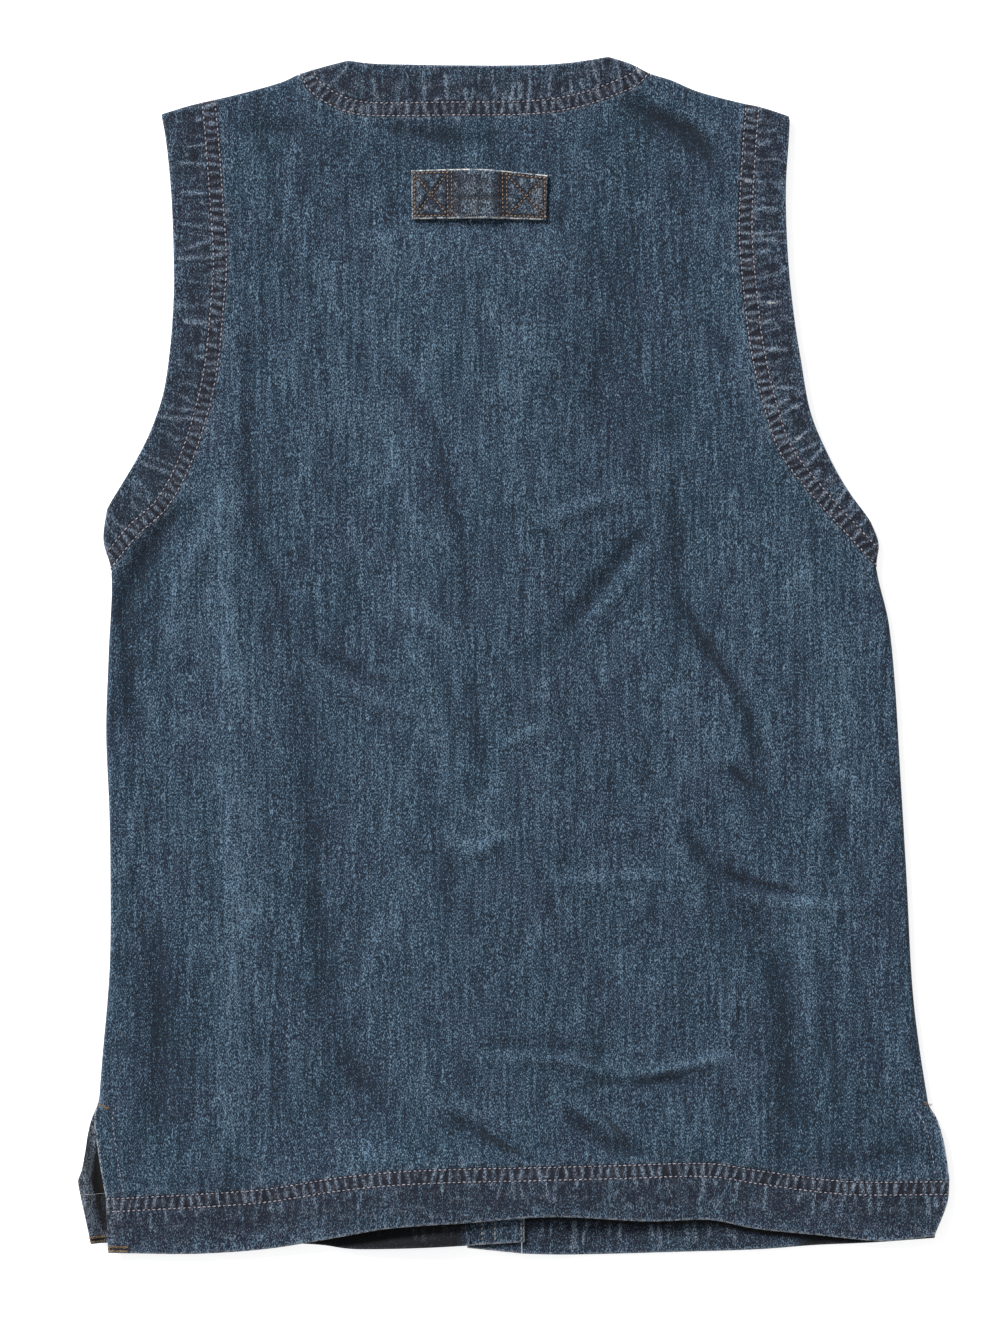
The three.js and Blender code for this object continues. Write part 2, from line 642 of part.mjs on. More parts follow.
function backHemBand(seam) {
  const edge = matching(backHem, seam);
  const inner = movedToward(seam, edge);
  const leftEnd = stations([edge[0], inner[0]], BAND_COLUMNS);
  const rightCorner = [...BACK_HEM_RIGHT_CORNER, inner.at(-1).toArray()];
  const rightEnd = stations(smoothLine(rightCorner), BAND_COLUMNS);
  const net = netBetween(edge, rightEnd, inner, leftEnd);
  addPiece('hem_band_back', clothWall(net, BAND, backFace), bandDenim());
}

// The front's armholes are cut deeper than the back's, and end at the same folds
function scooped(line, inwardSign) {
  return line.map((point, k) => {
    const depth = FRONT_SCOOP * Math.sin((Math.PI * k) / (line.length - 1));
    return new THREE.Vector2(point.x + inwardSign * depth, point.y);
  });
}

const FRONT_ARMHOLE_ROWS = 8;
const FRONT_SIDE_ROWS = 8;
const FRONT_NECK_COLUMNS = 6;
const FRONT_SHOULDER_COLUMNS = 2;
const FRONT_EDGE_REACH = 12;
const HEM_SPLIT = 2;
const PLACKET_ROWS = 20;
const PLACKET_COLUMNS = 2;
const TAB_COLUMNS = 12;
const TAB_ROWS = 4;

function sides(isLeft) {
  return isLeft
    ? {
        sign: 1, suffix: 'left', side: leftSide, shoulder: leftShoulder,
        slit: smoothLine(LEFT_FRONT_SLIT), slitTop: LEFT_SLIT_TOP, armholeSeam: scooped(leftSeam, 1),
        armholeEdge: scooped(smoothLine(LEFT_ARMHOLE_EDGE), 1),
        neckSeam: smoothLine(LEFT_FRONT_NECK_SEAM), neckEdge: smoothLine(LEFT_FRONT_NECK_EDGE),
        hem: smoothLine(LEFT_FRONT_HEM), face: frontFace(leftFrontLevel),
        placketLevel: LEFT_PLACKET_LEVEL,
        placketEdge: LEFT_PLACKET_EDGE, placketSeam: LEFT_PLACKET_EDGE - PLACKET_WIDTH,
        hemCornerX: LEFT_FRONT_HEM[0][0], placketFootY: LEFT_PLACKET_FOOT_Y,
      }
    : {
        sign: -1, suffix: 'right', side: rightSide, shoulder: rightShoulder,
        slit: smoothLine(RIGHT_FRONT_SLIT), slitTop: RIGHT_SLIT_TOP, armholeSeam: scooped(rightSeam, -1),
        armholeEdge: scooped(smoothLine(RIGHT_ARMHOLE_EDGE), -1),
        neckSeam: smoothLine(RIGHT_FRONT_NECK_SEAM), neckEdge: smoothLine(RIGHT_FRONT_NECK_EDGE),
        hem: smoothLine(RIGHT_FRONT_HEM), face: frontFace(rightFrontLevel),
        placketLevel: RIGHT_PLACKET_LEVEL,
        placketEdge: RIGHT_PLACKET_EDGE, placketSeam: RIGHT_PLACKET_EDGE + PLACKET_WIDTH,
        hemCornerX: RIGHT_FRONT_HEM.at(-1)[0], placketFootY: RIGHT_PLACKET_FOOT_Y,
      };
}

// A straight line down the closing, a set distance from the centre line
function closingLine(offset, fromY, toY) {
  return [
    new THREE.Vector2(centreLine(fromY) + offset, fromY),
    new THREE.Vector2(centreLine(toY) + offset, toY),
  ];
}

// A line moved so that its ends lie on two given points
function raisedLine(line, start, end) {
  const startShift = start.clone().sub(line[0]);
  const endShift = end.clone().sub(line.at(-1));
  return line.map((point, k) => {
    const shift = startShift.clone().lerp(endShift, k / (line.length - 1));
    return point.clone().add(shift);
  });
}

function frontHalf(isLeft) {
  const half = sides(isLeft);
  const panelEdge = half.placketSeam - half.sign * SEAM_GAP;
  const shoulderX = { armhole: half.armholeSeam.at(-1).x, neck: half.neckSeam[0].x };
  const neckEndY = half.neckSeam.at(-1).y;
  const hemClosingX = centreLine(HEM_Y) + panelEdge;
  const hemEdge = stretch(half.hem, 'x', half.hemCornerX, hemClosingX);
  const hemClosingY = hemEdge.at(-1).y + HEM_DEPTH;

  const armhole = stations(half.armholeSeam, FRONT_ARMHOLE_ROWS, UNDERARM_SEAM_REACH, FOLD_REACH);
  const outer = joined(
    stations(half.slit, SLIT_ROWS),
    stations(stretch(half.side, 'y', half.slitTop, half.armholeSeam[0].y), FRONT_SIDE_ROWS),
    armhole,
  );
  const neck = stations(half.neckSeam, FRONT_NECK_COLUMNS, FOLD_REACH, 0);
  neck[neck.length - 1] = new THREE.Vector2(centreLine(neckEndY) + panelEdge, neckEndY);
  const shoulder = stretch(half.shoulder, 'x', shoulderX.armhole, shoulderX.neck);
  const top = joined(stations(shoulder, FRONT_SHOULDER_COLUMNS, FRONT_EDGE_REACH), neck);
  const closing = matching(closingLine(panelEdge, hemClosingY, neckEndY), outer);
  closing[closing.length - 1] = top.at(-1).clone();
  const bottom = matching(raisedLine(hemEdge, half.slit[0], closing[0]), top);
  const net = netBetween(bottom, closing, top, outer);
  addPiece(`front_panel_${half.suffix}`, clothWall(net, CLOTH, half.face), innerDenim());

  // Hem band
  const hemStations = matching(hemEdge, bottom);
  const bandTop = movedToward(bottom, hemStations);
  const slitEnd = stations([hemStations[0], bandTop[0]], HEM_SPLIT, CURL_LENGTH);
  const closingEnd = matching([hemStations.at(-1), bandTop.at(-1)], slitEnd);
  addPiece(
    `hem_band_front_${half.suffix}`,
    clothWall(netBetween(hemStations, closingEnd, bandTop, slitEnd), BAND, half.face),
    innerDenim(),
  );

  // Armhole band
  const edge = stations(half.armholeEdge, FRONT_ARMHOLE_ROWS, UNDERARM_EDGE_REACH, FOLD_REACH);
  const underarm = stations(stretch(half.side, 'y', armhole[0].y, edge[0].y), BAND_COLUMNS);
  const over = stations(stretch(half.shoulder, 'x', armhole.at(-1).x, edge.at(-1).x), BAND_COLUMNS);
  addPiece(
    `armhole_band_${half.suffix}_front`,
    clothWall(bandNet(armhole, edge, underarm, over), BAND, half.face),
    innerDenim(),
  );

  // Neck band
  const neckEdge = stations(half.neckEdge, FRONT_NECK_COLUMNS, FOLD_REACH, 0);
  neckEdge[neckEdge.length - 1] = new THREE.Vector2(centreLine(PLACKET_TOP) + panelEdge, PLACKET_TOP);
  const shoulderEnd = stations(stretch(half.shoulder, 'x', neck[0].x, neckEdge[0].x), BAND_COLUMNS);
  const lowerEnd = stations([neck.at(-1), neckEdge.at(-1)], BAND_COLUMNS);
  addPiece(
    `neck_band_front_${half.suffix}`,
    clothWall(bandNet(neck, neckEdge, shoulderEnd, lowerEnd), BAND, half.face),
    innerDenim(),
  );

  // Placket, from the hem to the foot of the neckline
  const edgeTopY = PLACKET_TOP - PLACKET_V_DROP;
  const seamLine = closingLine(half.placketSeam, hemEdge.at(-1).y, PLACKET_TOP);
  const edgeLine = closingLine(half.placketEdge, half.placketFootY, edgeTopY);
  const seamSide = stations(seamLine, PLACKET_ROWS);
  const edgeSide = stations(edgeLine, PLACKET_ROWS);
  const bottomEnd = stations([seamSide[0], edgeSide[0]], PLACKET_COLUMNS);
  const topEnd = stations([seamSide.at(-1), edgeSide.at(-1)], PLACKET_COLUMNS);
  const flat = (x, y) => ({
    point: new THREE.Vector3(x, y, half.placketLevel),
    normal: new THREE.Vector3(0, 0, -1),
  });
  addPiece(
    `placket_${half.suffix}`,
    clothWall(netBetween(bottomEnd, edgeSide, topEnd, seamSide), BAND, flat),
    innerDenim(),
  );
}

// The loop on the back, sewn down at both ends and free in the middle
function backTab() {
  const top = stations(smoothLine(TAB_TOP), TAB_COLUMNS);
  const bottom = stations(smoothLine(TAB_BOTTOM), TAB_COLUMNS);
  const left = stations([bottom[0], top[0]], TAB_ROWS);
  const right = stations([bottom.at(-1), top.at(-1)], TAB_ROWS);
  const face = (x, y) => {
    const fromEnds = Math.min(x - TAB_TOP[0][0], TAB_TOP.at(-1)[0] - x);
    const arch = TAB_RISE * rise(fromEnds, TAB_FLAT_END, TAB_FLAT_END + TAB_BOW);
    const z = backFace(x, y).point.z + TAB_CLEARANCE + BAND + arch;
    return { point: new THREE.Vector3(x, y, z), normal: new THREE.Vector3(0, 0, 1) };
  };
  addPiece('back_tab', clothWall(netBetween(bottom, right, top, left), BAND, face), bandDenim());
}

// Plain buttons under the closing, their faces on the table
function buttons() {
  const profile = [
    [0, 0], [BUTTON_RADIUS - BUTTON_RIM, 0], [BUTTON_RADIUS, BUTTON_RIM],
    [BUTTON_RADIUS, BUTTON_THICKNESS - BUTTON_RIM], [BUTTON_RADIUS - BUTTON_RIM, BUTTON_THICKNESS],
    [0, BUTTON_THICKNESS],
  ].map(([radius, height]) => new THREE.Vector2(radius, height));
  for (let k = 0; k < BUTTON_COUNT; k += 1) {
    const y = TOP_BUTTON_Y - k * BUTTON_PITCH;
    const shape = new THREE.LatheGeometry(profile, BUTTON_FACETS);
    const button = addPiece(`button_${k + 1}`, shape, buttonMetal());
    button.rotation.x = Math.PI / 2;
    button.position.set(centreLine(y), y, 0);
  }
}

backPanel();
backArmholeBand('armhole_band_left_back', leftArmholeStations, LEFT_ARMHOLE_EDGE, leftSide, leftShoulder);
backArmholeBand(
  'armhole_band_right_back', rightArmholeStations, RIGHT_ARMHOLE_EDGE, rightSide, rightShoulder,
);
backNeckBand();
frontHalf(true);
frontHalf(false);
backTab();
buttons();

export default group;
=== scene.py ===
"""A sleeveless denim vest, laid face down on a table with its back up.

Plan tables and cloth sizes are in millimetres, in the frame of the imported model: X to the wearer's
right, Y up the garment, Z up from the table. Meshes are turned to metres when they are made.
"""
import math

import bpy
import numpy as np
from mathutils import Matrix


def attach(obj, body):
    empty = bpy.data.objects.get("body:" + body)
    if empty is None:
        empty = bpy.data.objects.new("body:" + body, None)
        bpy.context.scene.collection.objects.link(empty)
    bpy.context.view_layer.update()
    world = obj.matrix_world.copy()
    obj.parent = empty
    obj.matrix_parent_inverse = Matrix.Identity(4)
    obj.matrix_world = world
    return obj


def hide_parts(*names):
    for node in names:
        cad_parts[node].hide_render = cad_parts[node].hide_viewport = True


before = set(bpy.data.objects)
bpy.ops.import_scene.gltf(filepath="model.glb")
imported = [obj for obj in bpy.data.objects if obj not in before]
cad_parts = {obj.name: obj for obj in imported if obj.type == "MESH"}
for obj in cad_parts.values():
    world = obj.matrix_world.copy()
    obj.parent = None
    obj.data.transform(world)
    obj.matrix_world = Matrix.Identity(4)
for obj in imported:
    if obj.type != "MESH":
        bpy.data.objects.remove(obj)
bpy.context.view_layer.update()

bl_info = {
    "name": "Denim vest",
    "version": (1, 0, 0),
    "blender": (4, 5, 0),
    "location": "View3D > Sidebar > Vest",
    "description": "Builds a denim vest laid face down, with stitched edge bands",
    "category": "Object",
}

MM = 0.001

# Cloth thicknesses and gaps: one layer for the panels, two for the bands, plackets and loop
CLOTH = 1.2
BAND = 2.2
SEAM_GAP = 0.3

# The folds at the sides and shoulders, where the back turns over to the front
FOLD_HEIGHT = 6.0
FOLD_MIDDLE = FOLD_HEIGHT / 2
FOLD_REACH = 3.0
FOLD_FADE = 14.0
UNDERARM_REACH = 6.0

# How high the back's outer side lies between the folds
RESTING_HEIGHT = 5.1
OVER_PLACKET_HEIGHT = 9.4
SETTLING_LENGTH = 38.0
LEAST_HEIGHT = 3.1
LEAST_PLACKET_RISE = 5.9
LEAST_FIRMNESS = 2.2

# How a crease of the tables is drawn: narrower and deeper than its figures, but no narrower than this
CREASE_BREADTH = 0.6
CREASE_LEAST_BREADTH = 3.6
CREASE_DEPTH = 1.35

# Wear: up to the first value the yarn is rubbed pale, and from the second its white core is bare
MOST_RUBBED = 0.69
BARE_FROM = 0.7

# The front closing
PLACKET_WIDTH = 34.0
PLACKET_TOP = 240.0
PLACKET_V_DROP = 24.0
PLACKET_EDGE = 18.0
CENTRE_AT_HEM = -11.5
CENTRE_LEAN = -0.015
HEM_Y = -374.0
BUTTON_THICKNESS = 2.2
BUTTON_COUNT = 6
RIGHT_PLACKET_LEVEL = BUTTON_THICKNESS + SEAM_GAP
LEFT_PLACKET_LEVEL = RIGHT_PLACKET_LEVEL + BAND + SEAM_GAP
LEFT_PLACKET_FOOT = -366.5
RIGHT_PLACKET_FOOT = -370.5

# Where the back comes down beside the closing and above it: off its centre line, and up the garment
BACK_DOWN_ASIDE = (26, 82)
BACK_DOWN_ABOVE = (PLACKET_TOP - 2, PLACKET_TOP + 30)

# Where each front steps up to its placket, off the centre line, and where the step ends at the V
LEFT_STEP = (-80, -36)
RIGHT_STEP = (28, 64)
STEP_END = (PLACKET_TOP - PLACKET_V_DROP + 4, PLACKET_TOP + 8)

# The edge bands, and the twin rows of stitches on them, 5/16 inch apart
HEM_DEPTH = 33.0
FRONT_SCOOP = 9.0
FAR_ROW = 0.9
NEAR_ROW = 8.9

# The slits at the sides, how far in the left one's strip can reach, where its facing starts, and
# below which height the fronts' hem shows
LEFT_SLIT_TOP = -279.0
RIGHT_SLIT_TOP = -281.5
BY_LEFT_SLIT = -200
SLIT_FACING_TOP = LEFT_SLIT_TOP - 14
FRONT_HEM_SHOWS = -330

# The steps of the bands' nets
BAND_STEP = 1.05
NECK_STEP = 1.0
FRONT_HEM_STEP = 1.6
HIDDEN_BAND_STEP = 1.8

# How far the middle of a row of thread lies off its cloth
THREAD_LIFT = 0.14
UNDER_LIFT = 0.05

# Nominal lengths that the nets are spaced for, and how finely lines are cut up
BACK_BREADTH = 520
FRONT_BREADTH = 240
PANEL_LENGTH = 700
PLACKET_LENGTH = 600
LOOP_LENGTH = 85
LOOP_DEPTH = 30
FINE_CUTS = 900
EDGE_CUTS = 120
CLOSING_CUTS = 60

# Outlines as the garment lies, columns x and y
NECK_EDGE = [
    (-103.5, 372.5), (-90, 370.5), (-62, 369.5), (-10, 369), (24, 369.8), (44, 372), (58, 374.9),
]
NECK_SEAM = [
    (-134.7, 363.7), (-129.5, 354), (-120, 346), (-107, 339.8), (-93, 337), (-40, 337),
    (12, 337.8), (38, 341.5), (61, 348.8), (78, 356.5), (85.3, 364),
]
LEFT_SHOULDER = [
    (-221, 338.7), (-202, 344.4), (-176, 350.4), (-145, 359), (-134.7, 363.7), (-120, 368.2),
    (-103.5, 372.5),
]
RIGHT_SHOULDER = [
    (172.2, 337.3), (155, 342.9), (140.3, 346.1), (113.4, 353.4), (97.8, 360.1), (85.3, 364),
    (72, 370.5), (58, 374.9),
]
LEFT_SIDE = [
    (-260, LEFT_SLIT_TOP), (-258, -253), (-253.4, -197), (-252.8, -147), (-253.5, -98), (-255.5, -48),
    (-254, 0), (-252.4, 53), (-257.2, 72), (-255, 92),
]
RIGHT_SIDE = [
    (259, RIGHT_SLIT_TOP), (252.8, -241.5), (249, -208), (245.3, -139), (241.6, -77), (237.5, -11),
    (233.8, 22.3), (226.5, 55), (227.8, 70), (222.8, 84),
]
LEFT_ARMHOLE_EDGE = [
    (-255, 92), (-245.9, 106.6), (-235.9, 123.5), (-227.4, 141), (-219.9, 163), (-215.6, 190.4),
    (-213.1, 225.4), (-213.1, 244), (-214.7, 289), (-218.4, 325), (-221, 338.7),
]
LEFT_ARMHOLE_SEAM = [
    (-252.4, 53), (-235, 74.4), (-217.8, 90.4), (-204.7, 112.3), (-194.1, 140.4), (-185.3, 176.6),
    (-180.9, 219), (-179.1, 244), (-181.6, 289), (-184.7, 330), (-186.5, 347.9),
]
RIGHT_ARMHOLE_EDGE = [
    (222.8, 84), (207.2, 105.4), (195.9, 126), (185.3, 151.6), (179.1, 184.8), (174.7, 213),
    (170.9, 251), (169.7, 293.5), (171.6, 323.5), (172.2, 337.3),
]
RIGHT_ARMHOLE_SEAM = [
    (226.5, 55), (207.2, 75.4), (186.6, 98.5), (165.6, 126), (154.1, 159.8), (146.6, 194),
    (142.8, 225.4), (139.7, 264), (140.9, 301), (144, 345.2),
]
LEFT_BACK_SLIT = [(-255.5, -339), (-260.2, -311), (-262.6, -286), (-260, LEFT_SLIT_TOP)]
RIGHT_BACK_SLIT = [(272, -328), (268.4, -304), (263.4, -288), (259, RIGHT_SLIT_TOP)]
LEFT_FRONT_SLIT = [
    (-271.4, -337), (-272.6, -330.6), (-272.7, -327.6), (-270.6, -322.0), (-268.4, -310.0),
    (-266.9, -299.0), (-264.6, -289.5), (-260, LEFT_SLIT_TOP),
]
RIGHT_FRONT_SLIT = [(268, -333), (266, -305), (262, -288), (259, RIGHT_SLIT_TOP)]
BACK_HEM_SEAM = [
    (-255.5, -339), (-198, -336), (-157, -333), (-109, -325.3), (-66, -321), (5, -319), (65, -317.8),
    (123, -316.8), (155, -321.5), (206, -327.8), (272, -328),
]
BACK_HEM_EDGE = [
    (-254, -373.5), (-198, -374), (-153, -370.7), (-116, -364.4), (-79, -357.6), (-24, -353.7),
    (23, -350.4), (83, -353.4), (123, -352.8), (149, -358), (187, -362), (232, -366), (262.5, -363),
]
RIGHT_HEM_BULGE = (270.9, -341)
LEFT_FRONT_HEM = [
    (-264.7, -367.8), (-200, -366.5), (-123, -368.7), (-102, -371), (-48, -369.6), (0, -367),
]
RIGHT_FRONT_HEM = [
    (-10, -373.5), (35, -374.8), (103, -373.2), (155, -371.5), (187, -369), (225, -367.3), (263, -364.5),
]
LEFT_FRONT_NECK_SEAM = [(-134.7, 363.7), (-120, 330), (-95, 285), (-62, 238), (-36, 206)]
LEFT_FRONT_NECK_EDGE = [(-103.5, 372.5), (-92, 338), (-70, 296), (-36.3, 240)]
RIGHT_FRONT_NECK_SEAM = [(85.3, 364), (70, 330), (45, 285), (18, 238), (-4, 206)]
RIGHT_FRONT_NECK_EDGE = [(58, 374.9), (48, 340), (26, 296), (-4.6, 240)]

# The back's creases: half the breadth, the height (a trough where it is negative), and the line
BACK_CREASES = [
    (8, -2.2, [(79, 73), (58, 48), (33, 16)]),
    (10, 1.5, [(19, 82), (45, 93), (72, 101)]),
    (9, -1.5, [(100, 104), (104, 68), (103, 38)]),
    (8, -2.0, [(103, 38), (116, 10), (141, -22)]),
    (8, -2.0, [(141, -22), (149, -42), (154, -62)]),
    (9, 1.5, [(122, 18), (140, -8), (160, -46)]),
    (9, 1.2, [(86, 70), (66, 42), (48, 18)]),
    (5, -1.9, [(134, -70), (143, -77), (152, -86)]),
    (6, 1.1, [(126, -62), (137, -67), (146, -74)]),
    (7, -1.9, [(110, -112), (125, -134), (128, -153)]),
    (7, 1.3, [(100, -118), (114, -138), (118, -156)]),
    (6, -2.0, [(131, -137), (158, -146), (179, -151)]),
    (7, 1.7, [(141, -149), (180, -156), (222, -157)]),
    (7, 1.2, [(25, -143), (68, -139), (111, -141)]),
    (15, -1.5, [(153, -159), (172, -221), (172, -309)]),
    (13, 1.2, [(180, -140), (181, -190), (188, -240)]),
    (9, -1.4, [(-75, 175), (-53, 141), (-34, 85)]),
    (10, -1.1, [(-34, 85), (-29, 35)]),
    (10, 1.0, [(-92, 158), (-72, 122), (-56, 66)]),
    (7, -1.2, [(-34, -37), (-17, -68)]),
    (7, 1.3, [(-9, -56), (16, -46)]),
    (7, 1.6, [(-47, -109), (-28, -122), (-3, -112)]),
    (8, -1.4, [(-53, -84), (-47, -118), (-40, -153)]),
    (12, -2.2, [(-214, 88), (-232, 56), (-247, 28)]),
    (10, -1.3, [(-247, 28), (-240, -10), (-237, -53)]),
    (12, 1.5, [(-188, 88), (-204, 50), (-214, 4)]),
    (16, 1.3, [(-184, 147), (-176, 20), (-174, -152)]),
    (14, 1.0, [(-174, -152), (-175, -296)]),
    (10, -1.2, [(-165, 197), (-163, 85), (-140, 28)]),
    (11, -1.3, [(-134, -15), (-127, -109), (-115, -215)]),
    (7, -1.6, [(-125, 4), (-96, -12), (-65, -22)]),
    (6, 1.3, [(-120, -10), (-92, -26), (-66, -36)]),
    (5, 0.9, [(-128, 8), (-123, -19)]),
    (11, -1.3, [(-222, -184), (-221, -240), (-222, -296)]),
    (5, 1.1, [(-235, -103), (-239, -115), (-245, -140)]),
    (7, -1.2, [(-78, 329), (-46, 325), (-15, 321)]),
    (8, -1.1, [(-165, 330), (-134, 330)]),
    (8, -1.9, [(78, 344), (104, 328), (128, 306)]),
    (8, 1.2, [(92, 346), (118, 332), (138, 312)]),
    (5, -1.2, [(131, 194), (141, 185)]),
    (7, 1.1, [(141, 191), (154, 164), (163, 135)]),
    (6, 1.6, [(-15, -250), (28, -253), (66, -262)]),
    (6, 1.5, [(66, -262), (103, -259), (128, -252), (160, -259)]),
    (6, -1.2, [(-20, -243), (24, -244), (60, -251)]),
    (5, -1.7, [(78, -268), (92, -267), (110, -262)]),
    (6, -1.7, [(-43, -289), (-17, -299), (0, -310), (19, -316)]),
    (6, 1.2, [(-40, -280), (-14, -290), (6, -300)]),
    (6, -2.2, [(35, -287), (53, -300), (65, -309), (95, -312)]),
    (5, 1.4, [(38, -280), (60, -296), (76, -303)]),
    (9, -1.3, [(-115, -246), (-98, -264), (-78, -284)]),
    (8, -1.2, [(-207, -331), (-168, -330)]),
    (9, -1.0, [(-136, -290), (-133, -314)]),
    (8, -1.1, [(222, -313), (241, -313)]),
    (26, -1.0, [(70, 262), (64, 200), (60, 150)]),
    (16, 1.0, [(20, 250), (8, 170)]),
    (12, 0.9, [(-20, 0), (-60, 30)]),
    (13, -0.8, [(10, -170), (-30, -210)]),
    (12, 0.9, [(60, -190), (100, -215)]),
    (14, 0.8, [(-80, -170), (-100, -230)]),
    (13, 0.9, [(200, 20), (214, -60)]),
    (12, -0.9, [(208, -90), (196, -140)]),
    (10, 0.9, [(-110, 250), (-70, 262), (-30, 255)]),
    (11, -0.8, [(-120, 270), (-90, 290)]),
]

# Darker strokes along the crease troughs and folds are painted shade; paler ones along crease ridges are
# wash fading
# The broad strokes make the back darker or paler in patches
# The wash on the back: half the breadth, how much paler (darker where it is negative), and the line
WASH_AND_SHADE = [
    (4.5, -0.6, [(84, 337), (104, 331), (125, 305)]),
    (5.0, -0.8, [(-76, 331), (-52, 324), (-28, 318)]),
    (20.0, -0.45, [(-226, -190), (-220, -232), (-214, -280)]),
    (16.0, -0.35, [(-235, 60), (-238, 20), (-240, -20)]),
    (22.0, -0.3, [(190, -230), (215, -290)]),
    (9, -0.75, [(-245, 32), (-232, 61), (-214, 87)]),
    (11, -0.38, [(-245, 32), (-243, -12), (-249, -50)]),
    (6, -0.38, [(-155, 264), (-162, 199), (-167, 142), (-159, 85)]),
    (6, -0.42, [(-159, 85), (-147, 36), (-133, -12), (-127, -61), (-124, -110)]),
    (13, -0.36, [(-123, -110), (-127, -175), (-109, -232), (-86, -280)]),
    (4, -0.42, [(-66, 172), (-50, 142), (-42, 109), (-32, 53), (-25, -29), (-20, -69)]),
    (5, -0.5, [(27, 20), (52, 48), (76, 81)]),
    (6, -0.5, [(100, 93), (104, 36), (121, 12), (141, -8), (149, -61), (157, -94)]),
    (30, -0.3, [(72, 250), (74, 200), (78, 140)]),
    (9, -0.95, [(74, 342), (92, 335), (113, 320)]),
    (8, -0.5, [(113, 320), (125, 305), (129, 290)]),
    (5, -0.3, [(96, 264), (100, 199), (100, 142)]),
    (6, -0.5, [(121, 207), (139, 187)]),
    (5, -0.5, [(113, -122), (133, -138), (157, -150)]),
    (9, -0.5, [(129, -130), (145, -175), (165, -215), (170, -280)]),
    (12, -0.3, [(160, -232), (169, -270), (176, -305)]),
    (4, -0.4, [(-54, -77), (-42, -110), (-36, -158), (-17, -223)]),
    (5, -0.65, [(-40, -287), (-28, -296), (-15, -305)]),
    (5, -0.65, [(34, -287), (48, -297), (62, -305), (78, -300)]),
    (5, -0.42, [(-13, -240), (11, -248), (44, -261), (76, -265), (101, -266)]),
    (15, -0.5, [(-217, -212), (-218, -252)]),
    (22, -0.22, [(-228, -180), (-222, -235), (-215, -290)]),
    (8, -0.5, [(165, -310), (205, -316), (240, -308), (258, -312)]),
    (14, -0.3, [(-103, -268), (-84, -292), (-60, -304)]),
    (26, -0.16, [(-122, -170), (-126, -230), (-130, -290)]),
    (5, -0.5, [(-70, 329), (-44, 326), (-17, 322)]),
    (6, -0.45, [(-168, 331), (-138, 331)]),
    (22, -0.2, [(-160, 325), (-110, 318), (-60, 316)]),
    (20, -0.22, [(20, 318), (60, 314), (110, 290)]),
    (10, -0.28, [(-96, -14), (-118, 6), (-126, 24)]),
    (12, -0.22, [(228, -110), (236, -170), (246, -240)]),
    (14, -0.2, [(196, -230), (206, -270), (212, -300)]),
    (10, 0.34, [(-176, 223), (-177, 142), (-184, 85), (-188, 28)]),
    (15, 0.34, [(-188, 28), (-167, -45), (-163, -110), (-171, -159)]),
    (9, 0.38, [(-171, -159), (-176, -207), (-177, -280)]),
    (16, 0.16, [(-212, -20), (-206, -90), (-214, -140)]),
    (8, 0.32, [(-111, 191), (-104, 142)]),
    (34, 0.22, [(-66, 150), (0, 138), (12, 118)]),
    (9, 0.3, [(8, 122), (20, 96)]),
    (8, 0.3, [(-62, 4), (-42, -53), (-38, -110), (-20, -114)]),
    (8, 0.26, [(-20, -114), (-1, -61), (3, -12)]),
    (9, 0.26, [(40, -61), (48, -118), (60, -158)]),
    (9, 0.4, [(80, 12), (108, -28), (133, -62)]),
    (22, 0.22, [(168, 66), (190, 30), (198, 0)]),
    (14, 0.34, [(198, -30), (206, -62), (210, -90)]),
    (5, 0.4, [(182, -142), (186, -199), (178, -240)]),
    (7, 0.24, [(-78, -110), (-86, -158), (-54, -207)]),
    (5, 0.4, [(121, 264), (133, 223), (149, 182), (165, 142), (198, 101)]),
    (4, 0.42, [(60, -248), (84, -260), (118, -251), (152, -264)]),
    (5, 0.4, [(-94, -312), (-20, -313), (60, -311)]),
    (5, 0.3, [(36, -122), (68, -150), (118, -150)]),
]

# The fronts' creases lift them off the table, so they are ridges alone
FRONT_CREASES = [
    (9, 1.4, [(-190, 90), (-150, 20), (-140, -40)]),
    (10, 1.1, [(-120, 150), (-96, 90)]),
    (8, 1.2, [(-210, -120), (-160, -150), (-120, -148)]),
    (9, 1.0, [(-100, -230), (-70, -290)]),
    (9, 1.3, [(180, 80), (140, 24), (128, -30)]),
    (10, 1.0, [(90, 170), (110, 110)]),
    (8, 1.2, [(200, -110), (150, -140), (110, -132)]),
    (9, 1.1, [(80, -220), (110, -290)]),
]

# Crisp fold lines in the back's creases, finer than its mesh: start, middle and end of each, how far
# its shade spreads (to the right of its direction, or to the left if negative), and how dark it is
FOLD_LINES = [
    ((84.0, 337.5), (106.0, 330.5), (124.5, 306.0), -4.5, 0.45),
    ((102.8, 36.6), (127.5, -7.5), (147.7, -42.8), -4.0, 0.62),
    ((132.2, -68.4), (142.4, -78.9), (151.6, -85.1), -3.2, 0.62),
    ((129.4, -136.4), (156.0, -143.0), (187.1, -151.8), -3.2, 0.58),
    ((35.2, -249.9), (49.0, -252.2), (60.9, -260.6), 3.0, 0.55),
    ((27.5, -274.9), (49.0, -267.0), (75.6, -266.0), 3.2, 0.42),
    ((75.6, -266.0), (94.0, -261.0), (114.0, -254.0), 3.6, 0.45),
    ((-24.4, -292.1), (-8.0, -304.0), (10.2, -311.4), 4.2, 0.78),
    ((52.5, -284.5), (65.0, -296.0), (73.7, -309.5), 4.2, 0.75),
]

# Where the back's hem stands off the front's: middle, reach and height
HEM_LIFTS = [(-78, 46, 6.5), (60, 75, 3.5)]
HEM_LIFT_START = -280.0
HEM_LIFT_FULL = -350.0

